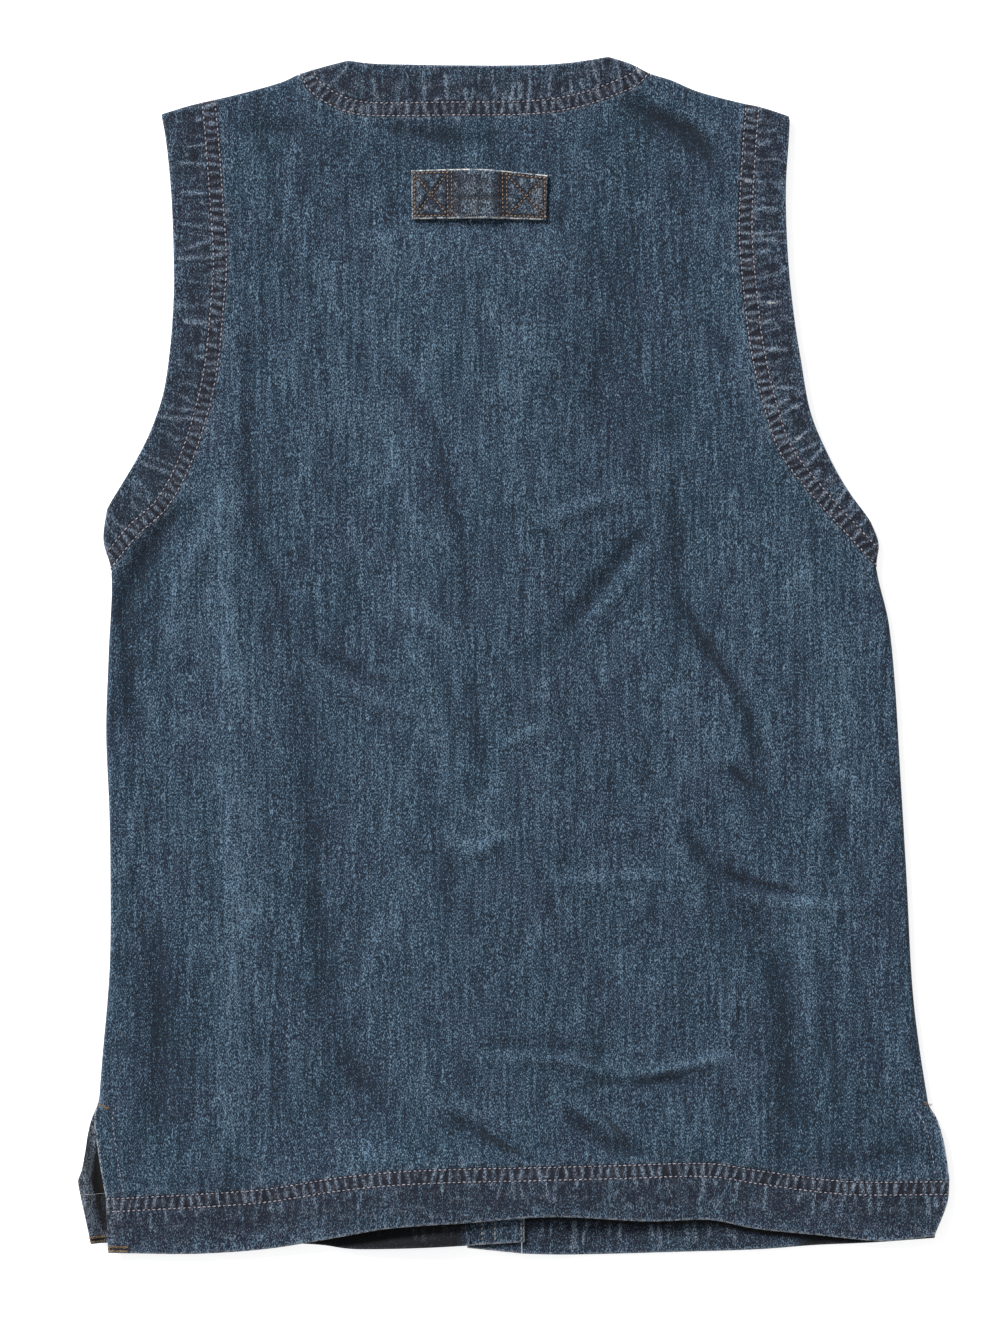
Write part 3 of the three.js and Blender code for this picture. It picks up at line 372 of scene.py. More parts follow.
# How far the front's free edges curl up where they show past the back
SLIT_CURL = 5.5
HEM_CURL = 4.5
CURL_START = 2.0
CURL_LENGTH = 9.0
HEM_CURL_CENTRE = -85.0
HEM_CURL_REACH = 45.0

# The loop on the back, as it lies, and the crossed boxes that sew it down: start and end of each
# along the loop, and the second row on its inner side
TAB_TOP = [(-64.5, 303.2), (-21, 303.8), (20.8, 300.1)]
TAB_BOTTOM = [(-64.1, 272.6), (-20, 273), (19.6, 272.1)]
TAB_CLEARANCE = 0.45
TAB_RISE = 1.2
TAB_BOXES = ((2.0, 22.6, 25.2), (59.6, 83.4, 57.0))
TAB_INSET = 2.0

# The stitch row beside each slit: how far off its edge, its lower end and its upper end
LEFT_SLIT_ROW = (-11.5, -336, -283)
RIGHT_SLIT_ROW = (8.5, -325, -285)

# Bar tacks where the slits end, and serging over the ends of the slit facings at the hem's corners:
# from and to
BACK_BARS = [
    ((-261.6, -280.0), (-253.1, -283.4)), ((256.2, -280.0), (260.6, -281.4)),
    ((-253.0, -369.6), (-241.6, -369.8)), ((-253.2, -372.2), (-241.6, -372.4)),
    ((-253.4, -369.2), (-253.2, -372.8)),
]
FRONT_BARS = [((-266.4, -363.8), (-256.4, -363.4)), ((-266.2, -366.4), (-256.4, -366.2))]
BAR_HEIGHT = 0.7

# The closing's rows, seen on its inside at the hem and on its face underneath: off the centre line
LEFT_CLOSING_ROWS = (-8.5, -0.4, 16.0)
RIGHT_CLOSING_ROWS = (-15.8, -7.0, 13.8)
LEFT_ROWS_FOOT = -364.5
RIGHT_ROWS_FOOT = -368.5
CLOSING_ROWS_TOP = 214.0
CLOSING_ROWS_LENGTH = 580


def linear(code):
    """An sRGB hex colour as linear red, green and blue."""
    parts = [int(code[k:k + 2], 16) / 255 for k in (1, 3, 5)]
    return tuple(c / 12.92 if c <= 0.04045 else ((c + 0.055) / 1.055) ** 2.4 for c in parts)


# Lines and nets in plan

def smooth_line(rows, per_span=12):
    """A centripetal curve through the rows, as closely spaced points."""
    p = np.array(rows, float)
    p = np.vstack([2 * p[0] - p[1], p, 2 * p[-1] - p[-2]])
    made = [p[1]]
    for k in range(1, len(p) - 2):
        a, b, c, d = p[k - 1:k + 3]
        step_in, step, step_out = (np.sum((w - v) ** 2) ** 0.25 for v, w in ((a, b), (b, c), (c, d)))
        leave = ((b - a) / step_in - (c - a) / (step_in + step) + (c - b) / step) * step
        arrive = ((c - b) / step - (d - b) / (step + step_out) + (d - c) / step_out) * step
        for t in np.linspace(0, 1, per_span + 1)[1:]:
            made.append(b + leave * t + (3 * (c - b) - 2 * leave - arrive) * t ** 2
                        + (2 * (b - c) + leave + arrive) * t ** 3)
    return np.array(made)


def lengths_along(line):
    """How far along a line each of its points lies."""
    return np.concatenate([[0.0], np.cumsum(np.linalg.norm(np.diff(line, axis=0), axis=1))])


def points_at(line, distances):
    """The points at given distances along a line."""
    lengths = lengths_along(line)
    return np.column_stack([np.interp(distances, lengths, line[:, k]) for k in range(line.shape[1])])


def spaced(line, shares):
    """The points at given shares of a line's length."""
    return points_at(line, np.asarray(shares) * lengths_along(line)[-1])


def shares_of(points):
    """The share of a line's length at each of its points."""
    lengths = lengths_along(points)
    return lengths / lengths[-1]


def value_on(line, known, value, wanted):
    """The value of one coordinate of a line where the other has the given value."""
    order = np.argsort(line[:, known], kind="stable")
    return np.interp(value, line[order, known], line[order, wanted])


def stretch(line, known, start, end):
    """The stretch of a line between two values of one coordinate, in the order they are given."""
    values = np.linspace(start, end, EDGE_CUTS)
    found = value_on(line, known, values, 1 - known)
    return np.column_stack([values, found] if known == 0 else [found, values])


def joined(*rows):
    """Lines that meet end to end, as one."""
    return np.vstack([rows[0]] + [row[1:] for row in rows[1:]])


def net_between(bottom, right, top, left):
    """Plan points between four edges, bottom and top from left to right, left and right upwards."""
    v = ((shares_of(left) + shares_of(right)) / 2)[:, None]
    u = shares_of(bottom)[None] * (1 - v) + shares_of(top)[None] * v
    u, v = u[..., None], v[..., None]
    return (left[:, None] * (1 - u) + right[:, None] * u + bottom[None] * (1 - v) + top[None] * v
            - bottom[0] * (1 - u) * (1 - v) - bottom[-1] * u * (1 - v)
            - top[0] * (1 - u) * v - top[-1] * u * v)


def moved_toward(points, targets, distance):
    """Points moved by a distance, each toward its target."""
    step = targets - points
    return points + step / np.linalg.norm(step, axis=1)[:, None] * distance


def offset_line(line, distance):
    """A line beside another, to its left where the distance is positive."""
    along = np.gradient(line, axis=0)
    along /= np.linalg.norm(along, axis=1)[:, None]
    return line + np.column_stack([-along[:, 1], along[:, 0]]) * distance


def even(length, step):
    """Even shares from 0 to 1 along a length, at about the given step."""
    return np.linspace(0, 1, max(2, int(round(length / step)) + 1))


def finer_start(shares, length, step, reach):
    """More shares of a length over its first stretch."""
    wanted = np.sort(np.concatenate([shares, np.arange(step, reach, step) / length]))
    return wanted[np.concatenate([[True], np.diff(wanted) > 0.2 * step / length])]


def with_edge(length, step, start=False, end=False):
    """Even shares with closer ones beside an end that is rounded or folded."""
    close = np.array([0.25, 0.6, 1.1, 1.8, 2.6]) / length
    first = 3 / length if start else 0
    last = 1 - 3 / length if end else 1
    inside = even(length, step)
    inside = inside[(inside > first) & (inside < last)]
    low = close if start else []
    high = 1 - close[::-1] if end else []
    return np.concatenate([[0.0], low, inside, high, [1.0]])


def along_and_off(line, x, y):
    """How far along a line each point lies, and how far off to its left."""
    start, run = line[:-1], np.diff(line, axis=0)
    size = np.sum(run ** 2, axis=1)
    best = np.full(len(x), np.inf)
    along, off = np.zeros(len(x)), np.zeros(len(x))
    lengths = lengths_along(line)
    for k in range(len(start)):
        dx, dy = x - start[k, 0], y - start[k, 1]
        share = np.clip((dx * run[k, 0] + dy * run[k, 1]) / size[k], 0, 1)
        gap = np.hypot(dx - share * run[k, 0], dy - share * run[k, 1])
        nearer = gap < best
        best = np.where(nearer, gap, best)
        side = np.sign(run[k, 0] * dy - run[k, 1] * dx)
        along = np.where(nearer, lengths[k] + share * (lengths[k + 1] - lengths[k]), along)
        off = np.where(nearer, side * gap, off)
    return along, off


def rise(value, start, end):
    """A soft step from 0 at the start to 1 at the end."""
    share = np.clip((value - start) / (end - start), 0, 1)
    return share * share * (3 - 2 * share)


def bump(distance, reach):
    """A soft hump, 1 in the middle and nearly 0 at twice its reach."""
    return np.exp(-(distance / reach) ** 2)


def ripple(x, y, size, seed):
    """A soft random unevenness of about the given size, from -1 to 1."""
    chance = np.random.default_rng(seed)
    total = np.zeros(len(x))
    waves, most = 14, 1.6
    for _ in range(waves):
        turn_by = chance.uniform(0, math.tau)
        wave = math.tau / (size * chance.uniform(1.2, 3.2))
        along = x * math.cos(turn_by) + y * math.sin(turn_by)
        total += np.sin(along * wave + chance.uniform(0, math.tau))
    return np.clip(total / math.sqrt(waves), -most, most) / most


def drawn_line(rows):
    """A short line of the tables, curved where it has more than two points."""
    return smooth_line(rows, 4) if len(rows) > 2 else np.array(rows, float)


def in_box_round(line, reach, x, y):
    """Which points lie in the box round a line, or within reach of that box."""
    low, high = line.min(0) - reach, line.max(0) + reach
    return (x > low[0]) & (x < high[0]) & (y > low[1]) & (y < high[1])


left_side = smooth_line(LEFT_SIDE)
right_side = smooth_line(RIGHT_SIDE)
left_shoulder = smooth_line(LEFT_SHOULDER)
right_shoulder = smooth_line(RIGHT_SHOULDER)
left_seam = smooth_line(LEFT_ARMHOLE_SEAM)
right_seam = smooth_line(RIGHT_ARMHOLE_SEAM)
neck_seam = smooth_line(NECK_SEAM)
hem_seam = smooth_line(BACK_HEM_SEAM)
back_hem = smooth_line(BACK_HEM_EDGE)
neck_edge = smooth_line(NECK_EDGE)
left_edge = smooth_line(LEFT_ARMHOLE_EDGE)
right_edge = smooth_line(RIGHT_ARMHOLE_EDGE)
left_back_slit = smooth_line(LEFT_BACK_SLIT)
right_back_slit = smooth_line(RIGHT_BACK_SLIT)
left_front_slit = smooth_line(LEFT_FRONT_SLIT)
left_free_edge = joined(np.array([BACK_HEM_EDGE[0], LEFT_BACK_SLIT[0]]), left_back_slit)


def turn(x, y):
    """How far the cloth has turned over a fold, 0 at the outline, and the way out over it."""
    choices = []
    sides = (
        (x - value_on(left_side, 1, y, 0), LEFT_SLIT_TOP, LEFT_SIDE[-1][1], -1.0),
        (value_on(right_side, 1, y, 0) - x, RIGHT_SLIT_TOP, RIGHT_SIDE[-1][1], 1.0),
    )
    for inward, slit_top, underarm, way in sides:
        strength = rise(y, slit_top - FOLD_FADE, slit_top) * (y < underarm + UNDERARM_REACH)
        choices.append((inward, strength, way, 0.0))
    for shoulder, here in ((left_shoulder, x < CENTRE_AT_HEM), (right_shoulder, x >= CENTRE_AT_HEM)):
        slope = shoulder[-1] - shoulder[0]
        slope /= np.linalg.norm(slope)
        across = np.array([-slope[1], slope[0]]) * (1 if slope[0] > 0 else -1)
        inward = (value_on(shoulder, 0, x, 1) - y) * across[1]
        choices.append((inward, here.astype(float), across[0], across[1]))
    nearest = np.full(len(x), FOLD_REACH)
    angle = np.full(len(x), math.pi / 2)
    out = np.zeros((len(x), 2))
    for inward, strength, way_x, way_y in choices:
        use = (strength > 0) & (inward < nearest)
        nearest = np.where(use, inward, nearest)
        folded = np.arccos(np.clip(1 - np.maximum(inward, 0) / FOLD_REACH, 0, 1))
        angle = np.where(use, math.pi / 2 + (folded - math.pi / 2) * strength, angle)
        out[use] = (way_x, way_y)
    return angle, out


def from_edges(x, y):
    """Distance from the nearest edge of the back panel."""
    left = np.where(
        y < LEFT_ARMHOLE_SEAM[0][1], value_on(left_side, 1, y, 0), value_on(left_seam, 1, y, 0))
    right = np.where(
        y < RIGHT_ARMHOLE_SEAM[0][1], value_on(right_side, 1, y, 0), value_on(right_seam, 1, y, 0))
    top = value_on(neck_seam, 0, x, 1) - y
    bottom = y - value_on(hem_seam, 0, x, 1)
    return np.maximum(0, np.min([x - left, right - x, top, bottom], axis=0))


def centre_line(y):
    """Where the front closing's centre lies across the vest, at each height."""
    return CENTRE_AT_HEM + CENTRE_LEAN * (y - HEM_Y)


def over_placket(x, y):
    """How much the doubled front closing lifts the back that lies over it."""
    return (1 - rise(np.abs(x - centre_line(y)), *BACK_DOWN_ASIDE)) * (1 - rise(y, *BACK_DOWN_ABOVE))


def crease_height(creases, x, y):
    """Soft creases, deepest at their middle and fading along their ends."""
    height = np.zeros(len(x))
    for breadth, depth, rows in creases:
        width = max(breadth * CREASE_BREADTH, CREASE_LEAST_BREADTH)
        depth = depth * CREASE_DEPTH
        line = drawn_line(rows)
        near = in_box_round(line, 3 * width, x, y)
        if near.any():
            along, off = along_and_off(line, x[near], y[near])
            total = lengths_along(line)[-1]
            taper = 0.45 + 0.55 * np.sin(math.pi * np.clip(along / total, 0, 1)) ** 0.7
            height[near] += depth * taper * bump(off, width)
    return height


def strokes(rows_of, x, y):
    """The sum of soft strokes: half the breadth, the amount and the line of each."""
    total = np.zeros(len(x))
    for breadth, amount, rows in rows_of:
        line = drawn_line(rows)
        near = in_box_round(line, 3 * breadth, x, y)
        if near.any():
            total[near] += amount * bump(along_and_off(line, x[near], y[near])[1], breadth)
    return total


def washed(x, y):
    """How much paler the back is, from about -1 to 1 and darker where negative: wash fading, ridge wear and
    painted shade.
    """
    faded = 0.4 * strokes(WASH_AND_SHADE, x, y)
    faded = faded + 0.08 * ripple(x, y, 12, 44) + 0.08 * ripple(x * 3.0, y * 0.7, 30, 45)
    # Crease troughs are darkened as painted shade, and crease ridges paled as wear
    creased = crease_height(BACK_CREASES, x, y)
    return faded + 0.14 * np.clip(creased, -2.5, 2.5)


# Puckers across the bands, drawn up by the two rows of stitches: a ladder between the rows, pleats
# from the second row towards the edge, and draws from the first row back into the panel.
# Columns: least and most spacing, half breadth, height, where it starts and ends off the seam,
# and how softly it fades there
PUCKER_KINDS = {
    "ladder": {"spacing": (4.6, 6.2), "breadth": (0.95, 1.45), "height": (0.4, 1.0),
               "start": (-1.0, 0.5), "end": (8.5, 10.5), "fade": 1.2},
    "pleat": {"spacing": (4.5, 10.0), "breadth": (0.8, 1.6), "height": (0.2, 0.75),
              "start": (9.0, 9.8), "end": (12.0, 32.0), "fade": 1.6},
    "draw": {"spacing": (5.0, 12.0), "breadth": (1.2, 2.4), "height": (0.08, 0.36),
             "start": (-14.0, -4.0), "end": (-0.5, 0.5), "fade": 2.0},
}


class Puckers:
    """Ridges across a sewn line: the band lies to its left."""

    def __init__(self, line, seed, depth, pleats=1.0):
        # Every third point is close enough, and the last is always one of them
        self.line = line[::3] if (len(line) - 1) % 3 == 0 else np.vstack([line[::3], line[-1:]])
        self.depth = depth
        chance = np.random.default_rng(seed)
        total = lengths_along(self.line)[-1]
        self.ridges = []
        for label, kind in PUCKER_KINDS.items():
            place = chance.uniform(0, 5)
            share = pleats if label == "pleat" else 1.0
            while place < total:
                breadth = chance.uniform(*kind["breadth"])
                height = chance.uniform(*kind["height"]) * share
                slant = chance.uniform(-0.3, 0.3)
                start, end = chance.uniform(*kind["start"]), chance.uniform(*kind["end"])
                self.ridges.append((place, breadth, height, slant, start, start + (end - start) * share,
                                    kind["fade"]))
                place += chance.uniform(*kind["spacing"])

    def field(self, x, y):
        """Height, pale wear and darkening of the puckers, for each point: the darkening is unfaded dye with
        painted shade.
        """
        near = in_box_round(self.line, self.depth + 12, x, y)
        height, light, dark = np.zeros((3, len(x)))
        along, off = along_and_off(self.line, x[near], y[near])
        total = np.zeros(len(off))
        for place, breadth, tall, slant, start, end, fade in self.ridges:
            across = along - place - slant * (off - (start + end) / 2)
            close = np.abs(across) < 3 * breadth
            here = off[close]
            window = rise(here, start - fade, start + fade) * (1 - rise(here, end - fade, end + fade))
            total[close] += tall * window * bump(across[close], breadth)

        # Between the rows the cloth sinks most, and under each row of thread
        between = rise(off, -0.5, 1.0) * (1 - rise(off, NEAR_ROW - 1.0, NEAR_ROW + 0.8))
        below = rise(off, NEAR_ROW - 1, NEAR_ROW + 1) * (1 - rise(off, NEAR_ROW + 8, self.depth))
        threads = bump(off - FAR_ROW, 0.9) + bump(off - NEAR_ROW, 0.9)
        height[near] = total - 0.25 * between - 0.12 * below - 0.4 * threads

        # The ridges are rubbed pale, with a thin line beside the seam; the hollows, the rows of thread and
        # the cloth between and below them are darkened: unfaded dye with painted shade
        beside = 0.22 * bump(off + 1.4, 0.9)
        bedded = 1 - 0.6 * np.clip(threads, 0, 1)
        light[near] = np.clip(total * 1.75 - 0.24 + beside, 0, MOST_RUBBED) * bedded
        shaded = 0.9 * between + 0.35 * below + 0.45 * threads
        dark[near] = np.clip(shaded - total * 1.5 * bedded, 0, 1)
        return height, light, dark


puckers = {
    "neck": Puckers(neck_seam, 11, 31),
    "left": Puckers(left_seam, 12, 32),
    "right": Puckers(right_seam[::-1], 13, 30),
    "hem": Puckers(hem_seam[::-1], 14, 34, 0.7),
}


def sewn_relief(x, y):
    """Height, pale wear and darkening of the puckers round the back's four bands: the darkening is unfaded
    dye with painted shade.
    """
    height, light, dark = np.zeros((3, len(x)))
    for line in puckers.values():
        more, paler, deeper = line.field(x, y)
        height = np.where(np.abs(more) > np.abs(height), more, height)
        light = np.maximum(light, paler)
        dark = np.maximum(dark, deeper)
    return height, light, dark


def hem_lift(x, y):
    """How far the back's hem stands off the front's."""
    low = 1 - rise(y, HEM_LIFT_FULL, HEM_LIFT_START)
    return sum(height * low * bump(x - centre, reach) for centre, reach, height in HEM_LIFTS)


def back_height(x, y):
    """How high the back's outer side lies away from its folds."""
    inside = from_edges(x, y)
    resting = FOLD_HEIGHT + (RESTING_HEIGHT - FOLD_HEIGHT) * rise(inside, 0, SETTLING_LENGTH)
    lifted = over_placket(x, y)
    raised = resting + (OVER_PLACKET_HEIGHT - resting) * lifted
    settled = rise(inside, 0, SETTLING_LENGTH / 3)
    creased = raised + crease_height(BACK_CREASES, x, y) * (0.35 + 0.65 * settled)
    uneven = 0.32 * ripple(x, y, 17, 31) + 0.22 * ripple(x, y, 8, 32)
    least = LEAST_HEIGHT + LEAST_PLACKET_RISE * lifted
    puckered = sewn_relief(x, y)[0]
    over = creased + uneven - least
    kept_up = np.log1p(np.exp(over * LEAST_FIRMNESS)) / LEAST_FIRMNESS
    return least + kept_up + hem_lift(x, y) + puckered


def back_face(x, y):
    """The back's outer side and the way out of it, turned over at the folds."""
    angle, out = turn(x, y)
    start = FOLD_MIDDLE + SEAM_GAP / 2
    z = start + (back_height(x, y) - start) * np.sin(angle)
    normal = np.column_stack([out * np.cos(angle)[:, None], np.sin(angle)])
    return np.column_stack([x, y, z]), normal / np.linalg.norm(normal, axis=1)[:, None]


def curl(x, y):
    """How far the fronts' free edges curl up past the back's hem and left slit."""
    past_hem = value_on(back_hem, 0, x, 1) - CURL_START - y
    hem = HEM_CURL * rise(past_hem, 0, CURL_LENGTH) * bump(x - HEM_CURL_CENTRE, HEM_CURL_REACH)
    past_slit = value_on(left_free_edge, 1, y, 0) - CURL_START - x
    slit = SLIT_CURL * rise(past_slit, 0, CURL_LENGTH) * (x < CENTRE_AT_HEM) * (y < LEFT_SLIT_TOP)
    return np.maximum(hem, slit)


def front_face(is_left):
    """A front's outer side and the way out of it, which is down."""
    def face(x, y):
        angle, out = turn(x, y)
        aside = x - centre_line(y)
        below_v = 1 - rise(y, *STEP_END)
        if is_left:
            level = LEFT_PLACKET_LEVEL * rise(aside, *LEFT_STEP) * below_v
        else:
            level = RIGHT_PLACKET_LEVEL * (1 - rise(aside, *RIGHT_STEP)) * below_v
        z = (FOLD_MIDDLE - SEAM_GAP / 2) * (1 - np.sin(angle)) + level + curl(x, y)
        z += crease_height(FRONT_CREASES, x, y) * rise(from_edges(x, y), 4, 16)
        normal = np.column_stack([out * np.cos(angle)[:, None], -np.sin(angle)])
        return np.column_stack([x, y, z]), normal / np.linalg.norm(normal, axis=1)[:, None]
    return face


# Meshes

SHARP_ANGLE = math.radians(55)


def mesh_object(name, points, faces, attributes):
    """An object from points in millimetres and faces, with a value at each point for each attribute."""
    mesh = bpy.data.meshes.new(name)
    mesh.from_pydata((np.asarray(points) * MM).tolist(), [], faces)
    for label, values in attributes.items():
        layer = mesh.attributes.new(label, "FLOAT", "POINT")
        layer.data.foreach_set("value", np.asarray(values, np.float32))
    mesh.polygons.foreach_set("use_smooth", [True] * len(mesh.polygons))
    mesh.set_sharp_from_angle(angle=SHARP_ANGLE)
    mesh.update()
    made = bpy.data.objects.new(name, mesh)
    bpy.context.scene.collection.objects.link(made)
    return made


def rounding(net, thickness, finished):
    """How far each side is drawn in beside a finished edge, so that the edge is round."""
    edges = {"bottom": net[:1], "top": net[-1:], "left": net[:, :1], "right": net[:, -1:]}
    drawn = np.zeros(net.shape[:2])
    half = thickness / 2
    for edge in finished:
        gap = np.linalg.norm(net - edges[edge], axis=2)
        lean = np.clip(1 - gap / half, 0, 0.94)
        drawn = np.maximum(drawn, half * (1 - np.sqrt(1 - lean ** 2)))
    return drawn.ravel()


def cloth(name, net, thickness, face, finished, wear, shade=None):
    """A closed wall of cloth over a net, its outer side on the face, with the shade given painted on its
    inner side.
    """
    rows, columns = net.shape[:2]
    x, y = net[..., 0].ravel(), net[..., 1].ravel()
    point, normal = face(x, y)
    drawn = rounding(net, thickness, finished)[:, None]
    points = np.vstack([point - normal * drawn, point - normal * (thickness - drawn)])
    count = rows * columns
    at = np.arange(count).reshape(rows, columns)
    a, b, c, d = at[:-1, :-1], at[:-1, 1:], at[1:, 1:], at[1:, :-1]
    outer = np.stack([a, b, c, d], -1).reshape(-1, 4)
    inner = np.stack([d, c, b, a], -1).reshape(-1, 4) + count
    rim = np.concatenate([at[0, :], at[1:, -1], at[-1, -2::-1], at[-2:0:-1, 0]])
    after = np.roll(rim, -1)
    quads = np.vstack([outer, inner, np.stack([after, rim, rim + count, after + count], -1)])

    # The faces are turned to point outwards
    a, b, c, d = points[quads].transpose(1, 0, 2)
    volume = np.sum(a * np.cross(b, c)) + np.sum(a * np.cross(c, d))
    if volume < 0:
        quads = quads[:, ::-1]
    rubbed, dark = wear(x, y)
    shaded = shade(x, y) if shade else np.zeros(count)
    attributes = {
        "rubbed": np.concatenate([rubbed, rubbed * (1 - 0.8 * shaded)]),
        "dark": np.concatenate([dark, np.maximum(dark, shaded)]),
    }
    if face is back_face:
        # The wash attribute carries fading and the painted shade of the back's creases
        attributes["wash"] = np.tile(washed(x, y), 2)
    piece = mesh_object(name, points, quads.tolist(), attributes)
    note_sheet(piece, net)
    return piece


def edge_wear(line, x, y, width=0.8):
    """Pale wear along a finished edge, uneven along it."""
    along, off = along_and_off(line, x, y)
    uneven = 0.86 + 0.14 * np.sin(along * 0.9 + 2 * np.sin(along * 0.23))
    return bump(np.maximum(np.abs(off) - 0.4, 0), width) * uneven


def back_wear_and_shade(edges, mottle=0.0, edge_share=0.9):
    """Wear of the back and its bands, with painted shade in the puckers: on the puckers, in blots, along
    the edges, and where serged.
    """
    def wear(x, y):
        _, rubbed, dark = sewn_relief(x, y)
        rubbed = rubbed * (0.8 + 0.2 * ripple(x, y, 3, 41))
        rubbed += mottle * np.clip(ripple(x, y, 4.5, 42) - 0.05, 0, 1)
        dark = dark + 1.2 * mottle * np.clip(ripple(x, y, 6, 43) - 0.1, 0, 1)
        for line in edges:
            worn = edge_share * edge_wear(line, x, y)
            rubbed = np.maximum(rubbed, worn)
            dark = dark * (1 - worn)
        serged = np.clip(strokes(SERGED, x, y), 0, 1)
        rubbed = np.maximum(rubbed, np.clip(rubbed + strokes(HEM_WEAR, x, y), 0, 0.66))
        return np.clip(rubbed, 0, 1) * (1 - serged), np.clip(np.maximum(dark, 0.8 * serged), 0, 1)
    return wear


# Node trees

def add(tree, kind, inputs=(), **settings):
    """Adds a node: settings first, then its inputs, each a value or a socket to link from."""
    made = tree.nodes.new(kind)
    for key, value in settings.items():
        setattr(made, key, value)
    for key, value in dict(inputs).items():
        if isinstance(value, bpy.types.NodeSocket):
            tree.links.new(value, made.inputs[key])
        else:
            made.inputs[key].default_value = value
    return made


def new_material(name):
    """An empty material and its node tree."""
    material = bpy.data.materials.new(name)
    material.use_nodes = True
    material.node_tree.nodes.clear()
    return material, material.node_tree


def rgba(colour):
    """A colour with full alpha, as the sockets take it."""
    return (*colour, 1.0)


def fold_line_tree():
    """Shade beside a fold line that bows from one end to the other, sharp on one side of it."""
    tree = bpy.data.node_groups.new("Fold line", "ShaderNodeTree")
    face = tree.interface
    for label in ("Place", "Centre"):
        face.new_socket(label, in_out="INPUT", socket_type="NodeSocketVector")
    for label in ("Angle", "Half Length", "Bow", "Spread", "Amount"):
        face.new_socket(label, in_out="INPUT", socket_type="NodeSocketFloat")
    face.new_socket("Shade", in_out="OUTPUT", socket_type="NodeSocketFloat")

    # The place is turned into the line's own frame: along it, and aside from it
    given = add(tree, "NodeGroupInput").outputs
    turned = add(tree, "ShaderNodeVectorRotate", {"Vector": given["Place"], "Center": given["Centre"],
                                                  "Angle": given["Angle"]}, rotation_type="Z_AXIS")
    local = add(tree, "ShaderNodeVectorMath", {0: turned.outputs["Vector"], 1: given["Centre"]},
                operation="SUBTRACT")
    parts = add(tree, "ShaderNodeSeparateXYZ", {"Vector": local.outputs["Vector"]})

    # Inside is 1 at the line's middle and 0 at its ends, and bows the line
    share = add(tree, "ShaderNodeMath", {0: parts.outputs["X"], 1: given["Half Length"]},
                operation="DIVIDE")
    square = add(tree, "ShaderNodeMath", {0: share.outputs[0], 1: share.outputs[0]}, operation="MULTIPLY")
    inside = add(tree, "ShaderNodeMath", {0: 1.0, 1: square.outputs[0]}, operation="SUBTRACT",
                 use_clamp=True)
    bowed = add(tree, "ShaderNodeMath", {0: inside.outputs[0], 1: given["Bow"]}, operation="MULTIPLY")
    aside = add(tree, "ShaderNodeMath", {0: parts.outputs["Y"], 1: bowed.outputs[0]}, operation="SUBTRACT")
    across = add(tree, "ShaderNodeMath", {0: aside.outputs[0], 1: given["Spread"]}, operation="DIVIDE")

    # The shade grows softly over 2.2 spreads and breaks off crisply past the line
    soft = add(tree, "ShaderNodeMapRange", {"Value": across.outputs[0], "From Min": -2.2, "From Max": 0.0},
               interpolation_type="SMOOTHSTEP")
    crisp = add(tree, "ShaderNodeMapRange", {"Value": across.outputs[0], "From Min": 0.05, "From Max": 0.35,
                                             "To Min": 1.0, "To Max": 0.0}, interpolation_type="SMOOTHSTEP")
    hollow = add(tree, "ShaderNodeMath", {0: soft.outputs["Result"], 1: 2.2}, operation="POWER")
    mask = add(tree, "ShaderNodeMath", {0: hollow.outputs[0], 1: crisp.outputs["Result"]},
               operation="MULTIPLY")
    ended = add(tree, "ShaderNodeMath", {0: mask.outputs[0], 1: inside.outputs[0]}, operation="MULTIPLY")
    shade = add(tree, "ShaderNodeMath", {0: ended.outputs[0], 1: given["Amount"]}, operation="MULTIPLY")
    add(tree, "NodeGroupOutput", {"Shade": shade.outputs[0]})
    return tree


def fold_shade(tree, place):
    """The shade of all the fold lines together, as a socket."""
    group = fold_line_tree()
    total = None
    for start, middle, end, spread, amount in FOLD_LINES:
        run = np.subtract(end, start)
        centre = np.add(start, end) / 2
        half = np.linalg.norm(run) / 2
        off = np.subtract(middle, centre)
        bow = (run[0] * off[1] - run[1] * off[0]) / (2 * half)
        line = add(tree, "ShaderNodeGroup", {
            "Place": place, "Centre": (centre[0] * MM, centre[1] * MM, 0.0),
            "Angle": -math.atan2(run[1], run[0]), "Half Length": half * MM, "Bow": bow * MM,
            "Spread": spread * MM, "Amount": amount,
        }, node_tree=group).outputs["Shade"]
        if total is None:
            total = line
        else:
            total = add(tree, "ShaderNodeMath", {0: total, 1: line}, operation="MAXIMUM").outputs[0]
    return total


TWILL_ANGLE = math.radians(-62)


